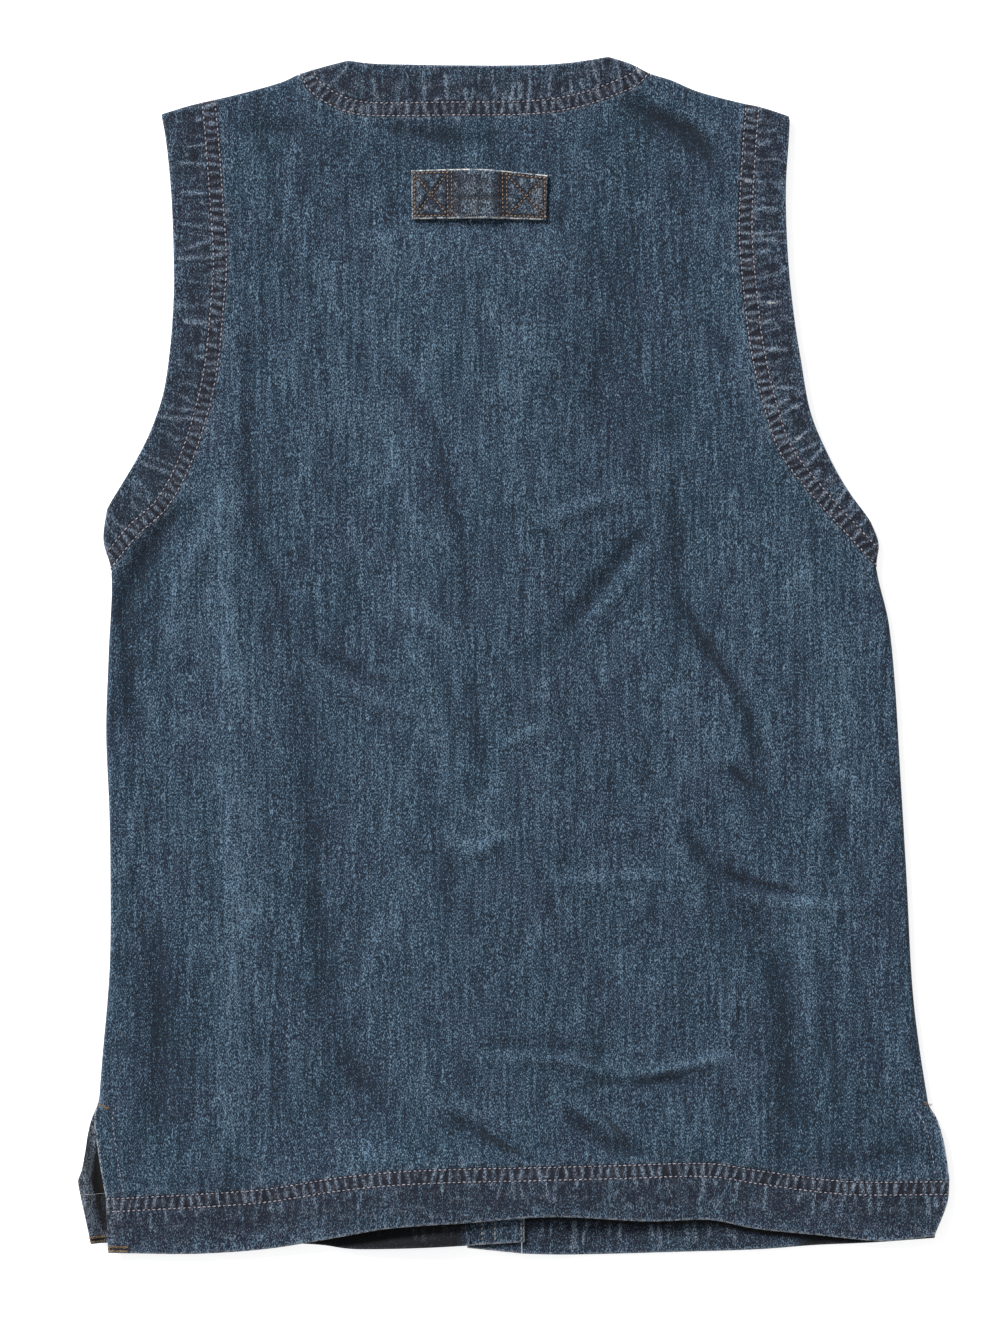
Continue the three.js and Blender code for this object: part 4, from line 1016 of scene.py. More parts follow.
def washed_denim(name, teal, purple, pale, shade, rubbed_white="#939aa8", bare_white="#b3b2ac",
                 dye_and_shade_colour="#131523", folded=False):
    """Stone-washed 12 ounce indigo denim: matt cotton twill, with slubs, faded grain and worn ridges, and
    the painted shade that its attributes and fold lines carry.
    """
    material, tree = new_material(name)
    place = add(tree, "ShaderNodeTexCoord").outputs["Object"]

    # Patches of teal and purple cast, about 30 to 60 mm across
    patches = add(tree, "ShaderNodeTexNoise",
                  {"Vector": place, "Scale": 24.0, "Detail": 3.0, "Roughness": 0.6})
    cast = add(tree, "ShaderNodeMapRange",
               {"Value": patches.outputs["Fac"], "From Min": 0.36, "From Max": 0.64})
    ground = add(tree, "ShaderNodeMix",
                 {"Factor": cast.outputs["Result"], "A": rgba(teal), "B": rgba(purple)}, data_type="RGBA")

    # Warp slubs: upright streaks about 1.4 mm wide and 15 to 40 mm long
    upright = add(tree, "ShaderNodeMapping", {"Vector": place, "Scale": (1.0, 0.07, 1.0)})
    slubs = add(tree, "ShaderNodeTexNoise",
                {"Vector": upright.outputs["Vector"], "Scale": 480.0, "Detail": 1.0})

    # Broad faded clouds from the wash, 10 to 25 mm across
    clouds = add(tree, "ShaderNodeTexNoise", {"Vector": place, "Scale": 60.0, "Detail": 2.0})

    # The grain of the faded yarns is 0.5 mm across, and drawn at 0.6 mm so that it shows
    stretched = add(tree, "ShaderNodeMapping", {"Vector": place, "Scale": (1.0, 0.42, 1.0)})
    grain = add(tree, "ShaderNodeTexNoise",
                {"Vector": stretched.outputs["Vector"], "Scale": 1900.0, "Detail": 1.0})

    # They are added about zero to the wash and the wear, which carry painted shade too, and lighten or
    # darken the ground
    rubbed, dark, wash = (add(tree, "ShaderNodeAttribute", attribute_name=label).outputs["Fac"]
                          for label in ("rubbed", "dark", "wash"))
    faded = add(tree, "ShaderNodeMath", {0: rubbed, 1: 1.0, 2: wash}, operation="MULTIPLY_ADD")
    total = add(tree, "ShaderNodeMath", {0: dark, 1: -0.6, 2: faded.outputs[0]},
                operation="MULTIPLY_ADD").outputs[0]
    for texture, weight in ((slubs, 1.6), (clouds, 0.3), (grain, 6.6)):
        centred = add(tree, "ShaderNodeMath", {0: texture.outputs["Fac"], 1: 0.5}, operation="SUBTRACT")
        scaled = add(tree, "ShaderNodeMath", {0: centred.outputs[0], 1: weight}, operation="MULTIPLY")
        total = add(tree, "ShaderNodeMath", {0: total, 1: scaled.outputs[0]}).outputs[0]
    fade = add(tree, "ShaderNodeMapRange", {"Value": total, "From Min": 0.12, "From Max": 1.4})
    deepen = add(tree, "ShaderNodeMapRange",
                 {"Value": total, "From Min": 0.0, "From Max": -1.0, "To Max": 0.9})

    # Wear on ridges and edges, broken up by the grain, and darkening from the dark attribute: unfaded dye,
    # with painted shade in hollows, in the open slit and past the back's hem
    broken = add(tree, "ShaderNodeMapRange", {"Value": grain.outputs["Fac"], "From Min": 0.43,
                                              "From Max": 0.62, "To Min": 0.0, "To Max": 1.0})
    speckled = add(tree, "ShaderNodeMath", {0: rubbed, 1: broken.outputs["Result"]}, operation="MULTIPLY")
    bare = add(tree, "ShaderNodeMapRange", {"Value": rubbed, "From Min": BARE_FROM}).outputs["Result"]
    rub = add(tree, "ShaderNodeMath", {0: speckled.outputs[0], 1: bare}, operation="MAXIMUM")
    hidden = add(tree, "ShaderNodeMath", {0: dark, 1: 0.93}, operation="MULTIPLY")

    # Each tint is laid over the ones before it; on the back, the sharpest folds shade their own hollows
    tints = [
        (fade.outputs["Result"], pale), (deepen.outputs["Result"], shade),
        (hidden.outputs[0], linear(dye_and_shade_colour)), (rub.outputs[0], linear(rubbed_white)),
        (bare, linear(bare_white)),
    ]
    if folded:
        tints.append((fold_shade(tree, place), linear("#0d151f")))
    colour = ground.outputs["Result"]
    for share, tint in tints:
        colour = add(tree, "ShaderNodeMix", {"Factor": share, "A": colour, "B": rgba(tint)},
                     data_type="RGBA").outputs["Result"]

    # Twill runs up to the right; its ribs are 0.6 mm apart and drawn at 1.8 mm so that they show
    slanted = add(tree, "ShaderNodeMapping", {"Vector": place, "Rotation": (0.0, 0.0, TWILL_ANGLE)})
    twill = add(tree, "ShaderNodeTexWave", {"Vector": slanted.outputs["Vector"], "Scale": 175.0,
                                            "Distortion": 2.5, "Detail": 2.0, "Detail Scale": 2.0})
    rib = add(tree, "ShaderNodeMath", {0: twill.outputs["Fac"], 1: 0.35}, operation="MULTIPLY")
    weave = add(tree, "ShaderNodeMath", {0: rib.outputs[0], 1: total}, operation="ADD")
    relief = add(tree, "ShaderNodeBump",
                 {"Strength": 0.45, "Distance": 0.00035, "Height": weave.outputs[0]})
    finish = add(tree, "ShaderNodeBsdfPrincipled", {
        "Base Color": colour, "Roughness": 0.92, "Specular IOR Level": 0.25,
        "Sheen Weight": 0.12, "Sheen Roughness": 0.6, "Normal": relief.outputs["Normal"],
    })
    add(tree, "ShaderNodeOutputMaterial", {"Surface": finish.outputs["BSDF"]})
    return material


def cotton_thread(name, colour, faded):
    """Spun cotton topstitching thread: matt, faded in places, with a fine twist."""
    material, tree = new_material(name)
    place = add(tree, "ShaderNodeTexCoord").outputs["Object"]
    patches = add(tree, "ShaderNodeTexNoise", {"Vector": place, "Scale": 420.0, "Detail": 3.0})
    share = add(tree, "ShaderNodeMapRange",
                {"Value": patches.outputs["Fac"], "From Min": 0.35, "From Max": 0.65})
    dye = add(tree, "ShaderNodeMix",
              {"Factor": share.outputs["Result"], "A": rgba(colour), "B": rgba(faded)}, data_type="RGBA")
    twist = add(tree, "ShaderNodeTexWave", {"Vector": place, "Scale": 900.0, "Distortion": 1.0})
    relief = add(tree, "ShaderNodeBump",
                 {"Strength": 0.3, "Distance": 0.0001, "Height": twist.outputs["Fac"]})
    finish = add(tree, "ShaderNodeBsdfPrincipled", {
        "Base Color": dye.outputs["Result"], "Roughness": 0.8, "Specular IOR Level": 0.3,
        "Normal": relief.outputs["Normal"],
    })
    add(tree, "ShaderNodeOutputMaterial", {"Surface": finish.outputs["BSDF"]})
    return material


def aged_metal(name, colour):
    """Stamped brass with an aged nickel finish: dull where it was handled, darker in its pits."""
    material, tree = new_material(name)
    place = add(tree, "ShaderNodeTexCoord").outputs["Object"]
    pits = add(tree, "ShaderNodeTexNoise", {"Vector": place, "Scale": 900.0, "Detail": 4.0})
    share = add(tree, "ShaderNodeMapRange",
                {"Value": pits.outputs["Fac"], "From Min": 0.35, "From Max": 0.7})
    tarnish = add(tree, "ShaderNodeMix", {"Factor": share.outputs["Result"], "A": rgba(linear("#4c463c")),
                                          "B": rgba(colour)}, data_type="RGBA")
    dull = add(tree, "ShaderNodeMapRange", {"Value": pits.outputs["Fac"], "To Min": 0.55, "To Max": 0.32})
    relief = add(tree, "ShaderNodeBump",
                 {"Strength": 0.25, "Distance": 0.0001, "Height": pits.outputs["Fac"]})
    finish = add(tree, "ShaderNodeBsdfPrincipled", {
        "Base Color": tarnish.outputs["Result"], "Metallic": 1.0, "Roughness": dull.outputs["Result"],
        "Normal": relief.outputs["Normal"],
    })
    add(tree, "ShaderNodeOutputMaterial", {"Surface": finish.outputs["BSDF"]})
    return material


def plain_paper(name, colour):
    """A seamless paper sweep: matt and white, with a faint tooth."""
    material, tree = new_material(name)
    place = add(tree, "ShaderNodeTexCoord").outputs["Object"]
    tooth = add(tree, "ShaderNodeTexNoise", {"Vector": place, "Scale": 700.0, "Detail": 2.0})
    relief = add(tree, "ShaderNodeBump",
                 {"Strength": 0.04, "Distance": 0.0001, "Height": tooth.outputs["Fac"]})
    finish = add(tree, "ShaderNodeBsdfPrincipled", {
        "Base Color": rgba(colour), "Roughness": 0.9, "Specular IOR Level": 0.1,
        "Normal": relief.outputs["Normal"], "Emission Color": (1, 1, 1, 1), "Emission Strength": 0.7,
    })
    add(tree, "ShaderNodeOutputMaterial", {"Surface": finish.outputs["BSDF"]})
    return material


STITCH_TREE = "Stitches along a line"


def stitch_tree():
    """Stitches along sewn lines: spun-thread beads at an even pitch, a little uneven."""
    tree = bpy.data.node_groups.new(STITCH_TREE, "GeometryNodeTree")
    face = tree.interface
    face.new_socket("Geometry", in_out="INPUT", socket_type="NodeSocketGeometry")
    for label, value in (("Pitch", 0.0032), ("Length", 0.0026), ("Thickness", 0.0006)):
        socket = face.new_socket(label, in_out="INPUT", socket_type="NodeSocketFloat")
        socket.default_value = value
        socket.subtype = "DISTANCE"
    seed = face.new_socket("Seed", in_out="INPUT", socket_type="NodeSocketInt")
    seed.default_value = 1
    face.new_socket("Thread", in_out="INPUT", socket_type="NodeSocketMaterial")
    face.new_socket("Geometry", in_out="OUTPUT", socket_type="NodeSocketGeometry")
    given = add(tree, "NodeGroupInput")
    curve = add(tree, "GeometryNodeMeshToCurve", {"Mesh": given.outputs["Geometry"]})
    pitched = add(tree, "GeometryNodeResampleCurve",
                  {"Curve": curve.outputs["Curve"], "Length": given.outputs["Pitch"]}, mode="LENGTH")
    bead = add(tree, "GeometryNodeMeshUVSphere", {"Segments": 6, "Rings": 4, "Radius": 0.5})
    tangent = add(tree, "GeometryNodeInputTangent")
    along = add(tree, "FunctionNodeAlignRotationToVector", {"Vector": tangent.outputs["Tangent"]}, axis="X")
    sway = add(tree, "FunctionNodeRandomValue", {"Min": (0, 0, -0.2), "Max": (0, 0, 0.2),
                                                 "Seed": given.outputs["Seed"]}, data_type="FLOAT_VECTOR")
    swayed = add(tree, "FunctionNodeRotateRotation",
                 {"Rotation": along.outputs["Rotation"], "Rotate By": sway.outputs["Value"]})
    size = add(tree, "ShaderNodeCombineXYZ", {"X": given.outputs["Length"], "Y": given.outputs["Thickness"],
                                              "Z": given.outputs["Thickness"]})
    vary = add(tree, "FunctionNodeRandomValue", {"Min": (0.75, 0.8, 0.8), "Max": (1.1, 1.2, 1.1),
                                                 "Seed": given.outputs["Seed"]}, data_type="FLOAT_VECTOR")
    varied = add(tree, "ShaderNodeVectorMath", {0: size.outputs["Vector"], 1: vary.outputs["Value"]},
                 operation="MULTIPLY")
    placed = add(tree, "GeometryNodeInstanceOnPoints", {
        "Points": pitched.outputs["Curve"], "Instance": bead.outputs["Mesh"],
        "Rotation": swayed.outputs["Rotation"], "Scale": varied.outputs["Vector"],
    })
    real = add(tree, "GeometryNodeRealizeInstances", {"Geometry": placed.outputs["Instances"]})
    dyed = add(tree, "GeometryNodeSetMaterial",
               {"Geometry": real.outputs["Geometry"], "Material": given.outputs["Thread"]})
    add(tree, "NodeGroupOutput", {"Geometry": dyed.outputs["Geometry"]})
    return tree


def stitched(name, rows, sizes, thread, seed):
    """Stitches along rows of points, as one plain mesh. Sizes are pitch, length and thickness."""
    points = np.vstack(rows)
    edges = []
    start = 0
    for row in rows:
        edges += [(start + k, start + k + 1) for k in range(len(row) - 1)]
        start += len(row)
    path = bpy.data.meshes.new(name + "_path")
    path.from_pydata((points * MM).tolist(), edges, [])
    guide = bpy.data.objects.new(name + "_path", path)
    bpy.context.scene.collection.objects.link(guide)
    tree = bpy.data.node_groups.get(STITCH_TREE) or stitch_tree()
    modifier = guide.modifiers.new("Stitches", "NODES")
    modifier.node_group = tree
    sockets = {item.name: item.identifier for item in tree.interface.items_tree if item.in_out == "INPUT"}
    for label, value in zip(("Pitch", "Length", "Thickness"), sizes):
        modifier[sockets[label]] = value * MM
    modifier[sockets["Seed"]] = seed
    modifier[sockets["Thread"]] = thread
    shown = guide.evaluated_get(bpy.context.evaluated_depsgraph_get())
    mesh = bpy.data.meshes.new_from_object(shown)
    guide.modifiers.remove(modifier)
    bpy.data.objects.remove(guide)
    mesh.name = name
    made = bpy.data.objects.new(name, mesh)
    bpy.context.scene.collection.objects.link(made)
    mesh.polygons.foreach_set("use_smooth", [True] * len(mesh.polygons))
    return made


def on_face(plan, face, lift, step=1.6):
    """A sewn row that follows a face, a little above it."""
    total = lengths_along(plan)[-1]
    plan = spaced(plan, even(total, step))
    point, normal = face(plan[:, 0], plan[:, 1])
    return point + normal * lift


def kept(line, wanted):
    """The longest run of a line's points for which wanted is true."""
    flags = wanted(line[:, 0], line[:, 1])
    best, start = (0, 0), None
    for k, flag in enumerate(list(flags) + [False]):
        if flag and start is None:
            start = k
        elif not flag and start is not None:
            if k - start > best[1] - best[0]:
                best = (start, k)
            start = None
    return line[best[0]:best[1]]


def extended(line, reach):
    """A line made longer at both ends."""
    first, last = line[0] - line[1], line[-1] - line[-2]
    first, last = first / np.linalg.norm(first), last / np.linalg.norm(last)
    return np.vstack([line[0] + first * reach, line, line[-1] + last * reach])


SIDES_TOP = 96


def inside_slits(x, y):
    """Between the free edges of the hem, where the twin rows turn back."""
    return (x > value_on(left_free_edge, 1, y, 0) + 1.5) & (x < value_on(right_back_slit, 1, y, 0) - 2.0)


def inside_folds(x, y):
    """Between the side and shoulder folds, where a sewn row can be seen."""
    top = np.where(x < CENTRE_AT_HEM, value_on(left_shoulder, 0, x, 1), value_on(right_shoulder, 0, x, 1))
    left = value_on(left_side, 1, y, 0)
    right = value_on(right_side, 1, y, 0)
    past_sides = y >= SIDES_TOP
    return (y < top - 0.5) & ((x > left + 0.5) | past_sides) & ((x < right - 0.5) | past_sides)


# The flat cut of each piece of cloth, by its name
SHEETS = {}


def note_sheet(piece, net):
    """Keeps the flat cut of a piece: its breadth and length along the cloth, and its area."""
    up_side = lengths_along(net[:, 0])
    middle_row = net[np.searchsorted(up_side, up_side[-1] / 2)]
    across_middle = lengths_along(middle_row)
    middle_column = net[:, np.searchsorted(across_middle, across_middle[-1] / 2)]
    flat = (across_middle[-1], lengths_along(middle_column)[-1])
    across, up = np.diff(net, axis=1)[:-1], np.diff(net, axis=0)[:, :-1]
    area = np.abs(across[..., 0] * up[..., 1] - across[..., 1] * up[..., 0]).sum()
    largest = flat[0] * flat[1]
    if area > largest:
        flat = (flat[0], area / flat[0])
    SHEETS[piece.name] = (piece, [size * MM for size in flat], area * MM * MM)


def finish_piece(piece, nodes, material=None):
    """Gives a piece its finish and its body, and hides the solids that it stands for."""
    if material is not None:
        piece.data.materials.clear()
        piece.data.materials.append(material)
    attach(piece, "root")
    if nodes:
        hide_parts(*nodes)


def shared_material(key):
    """Each finish is made once and used by every piece that has it."""
    settings = bpy.context.scene.vest_denim
    sewing = bpy.context.scene.vest_sewing
    if key in bpy.data.materials:
        return bpy.data.materials[key]
    makers = {
        "Stone-washed denim": lambda: washed_denim(
            key, settings.teal, settings.purple, settings.faded, settings.unfaded, folded=True),
        "Stone-washed denim band": lambda: washed_denim(
            key, linear("#13263b"), linear("#1b233c"), settings.faded, settings.unfaded),
        "Frayed denim loop": lambda: washed_denim(
            key, linear("#1f3145"), linear("#252b3a"), settings.faded, settings.unfaded,
            rubbed_white="#c0c4c9", bare_white="#d8d6cc"),
        # The fronts' darkest colour is near black, for the painted shade in the open slit and past the
        # back's hem
        "Doubled denim of the fronts": lambda: washed_denim(
            key, linear("#13263b"), linear("#1b233c"), settings.faded, settings.unfaded, dye_and_shade_colour="#060608"),
        "Denim inside": lambda: washed_denim(
            key, linear("#263441"), linear("#28303d"), linear("#66737f"), linear("#0c1016"),
            dye_and_shade_colour="#060608"),
        "Tan topstitch thread": lambda: cotton_thread(key, sewing.tan, linear("#a8a6ae")),
        "Rust topstitch thread": lambda: cotton_thread(key, sewing.rust, linear("#776355")),
        "Brown bar-tack thread": lambda: cotton_thread(key, linear("#b79c78"), linear("#6a5443")),
        "Cream topstitch thread": lambda: cotton_thread(key, sewing.cream, linear("#857c74")),
        "Aged nickel": lambda: aged_metal(key, linear("#8b8378")),
    }
    return makers[key]()


# Settings

class VestDenimSettings(bpy.types.PropertyGroup):
    teal: bpy.props.FloatVectorProperty(
        name="Teal cast", description="Denim where its indigo leans to teal", subtype="COLOR",
        min=0, max=1, default=linear("#133146"))
    purple: bpy.props.FloatVectorProperty(
        name="Purple cast", description="Denim where its indigo leans to purple", subtype="COLOR",
        min=0, max=1, default=linear("#1b2e46"))
    faded: bpy.props.FloatVectorProperty(
        name="Faded yarn", description="Yarn that the wash has faded", subtype="COLOR",
        min=0, max=1, default=linear("#738fa4"))
    unfaded: bpy.props.FloatVectorProperty(
        name="Unfaded yarn", description="Yarn that has kept its dye", subtype="COLOR",
        min=0, max=1, default=linear("#081019"))
    grid: bpy.props.FloatProperty(
        name="Panel detail", description="Distance between the mesh points of a panel", subtype="DISTANCE",
        unit="LENGTH", min=0.002, max=0.02, default=0.0029)


class VestSewingSettings(bpy.types.PropertyGroup):
    pitch: bpy.props.FloatProperty(
        name="Stitch pitch", description="From one stitch to the next", subtype="DISTANCE", unit="LENGTH",
        min=0.001, max=0.01, default=0.0032)
    thickness: bpy.props.FloatProperty(
        name="Thread thickness", description="Thickness of a topstitch thread", subtype="DISTANCE",
        unit="LENGTH", min=0.0002, max=0.002, default=0.0009)
    tan: bpy.props.FloatVectorProperty(
        name="Tan thread", description="Tan thread of the edge bands, faded by the wash",
        subtype="COLOR", min=0, max=1, default=linear("#84828e"))
    rust: bpy.props.FloatVectorProperty(
        name="Rust thread", description="Thread of the loop", subtype="COLOR", min=0, max=1,
        default=linear("#9c8268"))
    cream: bpy.props.FloatVectorProperty(
        name="Cream thread", description="Thread of the front closing", subtype="COLOR", min=0, max=1,
        default=linear("#9a9183"))


class VestStageSettings(bpy.types.PropertyGroup):
    floor: bpy.props.FloatVectorProperty(
        name="Floor", description="Colour of the paper floor", subtype="COLOR", min=0, max=1,
        default=linear("#f2f2f2"))
    key_power: bpy.props.FloatProperty(
        name="Key light", description="Power of the soft key light, in watts", min=1, max=5000,
        default=1560)
    sky: bpy.props.FloatProperty(
        name="Surrounding light", description="Brightness of the light from all round", min=0, max=3,
        default=0.34)
    camera_height: bpy.props.FloatProperty(
        name="Camera height", description="From the cloth to the camera", subtype="DISTANCE", unit="LENGTH",
        min=1, max=10, default=3.0)


# Pieces

def panel_grid():
    """The distance between the points of a panel, in millimetres."""
    return bpy.context.scene.vest_denim.grid / MM


class VEST_OT_back_panel(bpy.types.Operator):
    """The back, one layer of denim between its bands"""
    bl_idname = "vest.back_panel"
    bl_label = "Back panel"

    def execute(self, context):
        step = panel_grid()
        top = joined(
            stretch(left_shoulder, 0, LEFT_ARMHOLE_SEAM[-1][0], NECK_SEAM[0][0]),
            neck_seam,
            stretch(right_shoulder, 0, NECK_SEAM[-1][0], RIGHT_ARMHOLE_SEAM[-1][0]),
        )
        left = joined(
            left_back_slit, stretch(left_side, 1, LEFT_SLIT_TOP, LEFT_ARMHOLE_SEAM[0][1]), left_seam)
        right = joined(
            right_back_slit, stretch(right_side, 1, RIGHT_SLIT_TOP, RIGHT_ARMHOLE_SEAM[0][1]), right_seam)
        across = with_edge(BACK_BREADTH, step, True, True)
        up = with_edge(PANEL_LENGTH, step, False, True)
        net = net_between(spaced(hem_seam, across), spaced(right, up),
                          spaced(top, across), spaced(left, up))
        piece = cloth("back", net, CLOTH, back_face, (), back_wear_and_shade((left_back_slit, right_back_slit)))
        finish_piece(piece, ["back_panel"], shared_material("Stone-washed denim"))
        return {"FINISHED"}


def band(name, seam, edge, start, end, along_step, face, wear, finished=("top",), shade=None):
    """A band from its seam to its finished edge, with its two ends given from seam to edge."""
    length = lengths_along(edge)[-1]
    depth = np.linalg.norm(edge[len(edge) // 2] - seam[len(seam) // 2])
    along = with_edge(length, along_step, True, True)
    over = with_edge(depth, along_step, False, True)
    edge = spaced(edge, along)
    seam = spaced(seam, along)
    seam = moved_toward(seam, edge, SEAM_GAP * 0.6)
    start, end = spaced(start, over), spaced(end, over)
    start[0], start[-1], end[0], end[-1] = seam[0], edge[0], seam[-1], edge[-1]
    net = net_between(seam, end, edge, start)
    return cloth(name, net, BAND, face, finished, wear, shade)


class VEST_OT_back_bands(bpy.types.Operator):
    """The neck, armhole and hem bands of the back, drawn up by their stitches"""
    bl_idname = "vest.back_bands"
    bl_label = "Back bands"

    def execute(self, context):
        material = shared_material("Stone-washed denim band")
        # The last column is how blotched the band is
        sides = (
            ("left", left_seam, left_edge, left_side, left_shoulder, 0.12),
            ("right", right_seam, right_edge, right_side, right_shoulder, 0.32),
        )
        for label, seam, edge, side, shoulder, mottle in sides:
            under = stretch(side, 1, seam[0, 1], edge[0, 1])
            over = stretch(shoulder, 0, seam[-1, 0], edge[-1, 0])
            piece = band(f"armhole_edge_{label}_back", seam, edge, under, over, BAND_STEP, back_face,
                         back_wear_and_shade((edge,), mottle, 0.35))
            finish_piece(piece, [f"armhole_band_{label}_back"], material)

        start = stretch(left_shoulder, 0, neck_seam[0, 0], neck_edge[0, 0])
        end = stretch(right_shoulder, 0, neck_seam[-1, 0], neck_edge[-1, 0])
        piece = band("neck_edge_back", neck_seam, neck_edge, start, end, NECK_STEP, back_face,
                     back_wear_and_shade((neck_edge,), 0.25, 0.65))
        finish_piece(piece, ["neck_band_back"], material)

        left_end = np.array([hem_seam[0], back_hem[0]])
        right_end = smooth_line([hem_seam[-1], RIGHT_HEM_BULGE, back_hem[-1]])
        piece = band("hem_back", hem_seam, back_hem, left_end, right_end, BAND_STEP, back_face,
                     back_wear_and_shade((back_hem, right_end), 0.2), ("top", "left", "right"))
        finish_piece(piece, ["hem_band_back"], material)
        return {"FINISHED"}


def scooped(line, inward):
    """The front's armhole is cut deeper than the back's, and ends at the same folds."""
    depth = FRONT_SCOOP * np.sin(math.pi * np.arange(len(line)) / (len(line) - 1))
    return line + np.column_stack([inward * depth, np.zeros(len(line))])


def half_lines(is_left):
    """The lines, levels and signs of one front."""
    if is_left:
        return {
            "sign": 1, "suffix": "left", "side": left_side, "shoulder": left_shoulder,
            "slit": left_front_slit, "slit_top": LEFT_SLIT_TOP,
            "seam": scooped(left_seam, 1), "edge": scooped(left_edge, 1),
            "neck_seam": smooth_line(LEFT_FRONT_NECK_SEAM),
            "neck_edge": smooth_line(LEFT_FRONT_NECK_EDGE),
            "hem": smooth_line(LEFT_FRONT_HEM), "hem_corner": LEFT_FRONT_HEM[0][0],
            "level": LEFT_PLACKET_LEVEL, "placket_edge": PLACKET_EDGE,
            "placket_seam": PLACKET_EDGE - PLACKET_WIDTH, "foot": LEFT_PLACKET_FOOT,
        }
    return {
        "sign": -1, "suffix": "right", "side": right_side, "shoulder": right_shoulder,
        "slit": smooth_line(RIGHT_FRONT_SLIT), "slit_top": RIGHT_SLIT_TOP,
        "seam": scooped(right_seam, -1), "edge": scooped(right_edge, -1),
        "neck_seam": smooth_line(RIGHT_FRONT_NECK_SEAM),
        "neck_edge": smooth_line(RIGHT_FRONT_NECK_EDGE),
        "hem": smooth_line(RIGHT_FRONT_HEM), "hem_corner": RIGHT_FRONT_HEM[-1][0],
        "level": RIGHT_PLACKET_LEVEL, "placket_edge": -PLACKET_EDGE,
        "placket_seam": PLACKET_WIDTH - PLACKET_EDGE, "foot": RIGHT_PLACKET_FOOT,
    }


def closing_line(offset, start, end):
    """A line beside the closing's centre, from one height to another."""
    return np.array([(centre_line(start) + offset, start), (centre_line(end) + offset, end)])


def raised_line(line, start, end):
    """A line moved so that it starts and ends at the points given."""
    share = (np.arange(len(line)) / (len(line) - 1))[:, None]
    return line + (start - line[0]) * (1 - share) + (end - line[-1]) * share


def front_outlines(half):
    """The lines round a front panel and its bands."""
    panel_edge = half["placket_seam"] - half["sign"] * SEAM_GAP
    neck_end = half["neck_seam"][-1, 1]
    hem_edge = stretch(half["hem"], 0, half["hem_corner"], centre_line(HEM_Y) + panel_edge)
    outer = joined(
        half["slit"], stretch(half["side"], 1, half["slit_top"], half["seam"][0, 1]), half["seam"])
    neck = half["neck_seam"].copy()
    neck[-1] = (centre_line(neck_end) + panel_edge, neck_end)
    top = joined(stretch(half["shoulder"], 0, half["seam"][-1, 0], neck[0, 0]), neck)
    closing = spaced(closing_line(panel_edge, hem_edge[-1, 1] + HEM_DEPTH, neck_end),
                     np.linspace(0, 1, CLOSING_CUTS))
    closing[-1] = top[-1]
    bottom = raised_line(hem_edge, half["slit"][0], closing[0])
    edge = half["neck_edge"].copy()
    edge[-1] = (centre_line(PLACKET_TOP) + panel_edge, PLACKET_TOP)
    return {"hem": hem_edge, "outer": outer, "neck": neck, "top": top, "closing": closing,
            "bottom": bottom, "neck_edge": edge}


# Worn patches of the loop and of the hem's left end: half the breadth, the amount and the line
LOOP_WEAR = [
    (2.2, 0.26, [(-26, 276), (-26.4, 300)]), (2.0, 0.18, [(-17.5, 276), (-17.5, 300)]),
    (3.0, 0.36, [(14.5, 277), (15.5, 296)]), (2.0, 0.3, [(-62, 276), (-61.5, 300)]),
]
HEM_WEAR = [(3.2, 0.4, [(-252.6, -339), (-248, -351)]), (3.0, 0.3, [(-252, -356), (-251.6, -366)])]

# Where the ends of the slit facings are serged in dark brown, and the line that shades the notch of
# the left slit: half the breadth, the amount and the line
SERGED = [
    (1.5, 1.0, [(-252.8, -371.0), (-242.0, -371.2)]), (1.4, 1.0, [(-266.0, -365.2), (-256.8, -364.9)]),
]
NOTCH_SHADE = [(0.7, 1.0, [(-271.6, -330.4), (-266.0, -329.4)])]


def slit_opening(y):
    """How far the painted shade in the open inside of the left slit reaches past the back's free edge."""
    return np.interp(-y, [296, 304, 312, 321.5, 328.4, 337, 349.6, 359, 363],
                     [-1.0, 0.4, 2.2, 4.6, 7.0, 6.6, 5.0, 2.6, -1.0])


def inside_shade(x, y):
    """Painted shade on the inside of the fronts: in the open slit and its notch, just past the back's hem,
    and where the hem curls.
    """
    past_slit = value_on(left_free_edge, 1, y, 0) - x
    reach = slit_opening(y)
    wedge = (1 - rise(past_slit, reach, reach + 0.9)) * (y < SLIT_FACING_TOP) * (x < BY_LEFT_SLIT)
    wedge = np.maximum(wedge, 0.8 * strokes(NOTCH_SHADE, x, y))
    # Painted shadow just past the back's hem, and painted shade over the curled stretches of the fronts'
    # hem
    past_hem = value_on(back_hem, 0, x, 1) - y
    under = 1 - rise(past_hem, 1.5, 5.0)
    curled = rise(x, -225, -190) * (1 - rise(x, -38, -26)) + rise(x, 172, 184) * (1 - rise(x, 240, 248))
    curled = curled * (0.94 - 0.12 * np.clip(ripple(x * 2.2, y * 0.6, 5, 61), 0, 1))
    at_hem = np.maximum(under * (x > BY_LEFT_SLIT), curled) * (y < FRONT_HEM_SHOWS)
    return np.clip(np.maximum(wedge, at_hem), 0, 1)


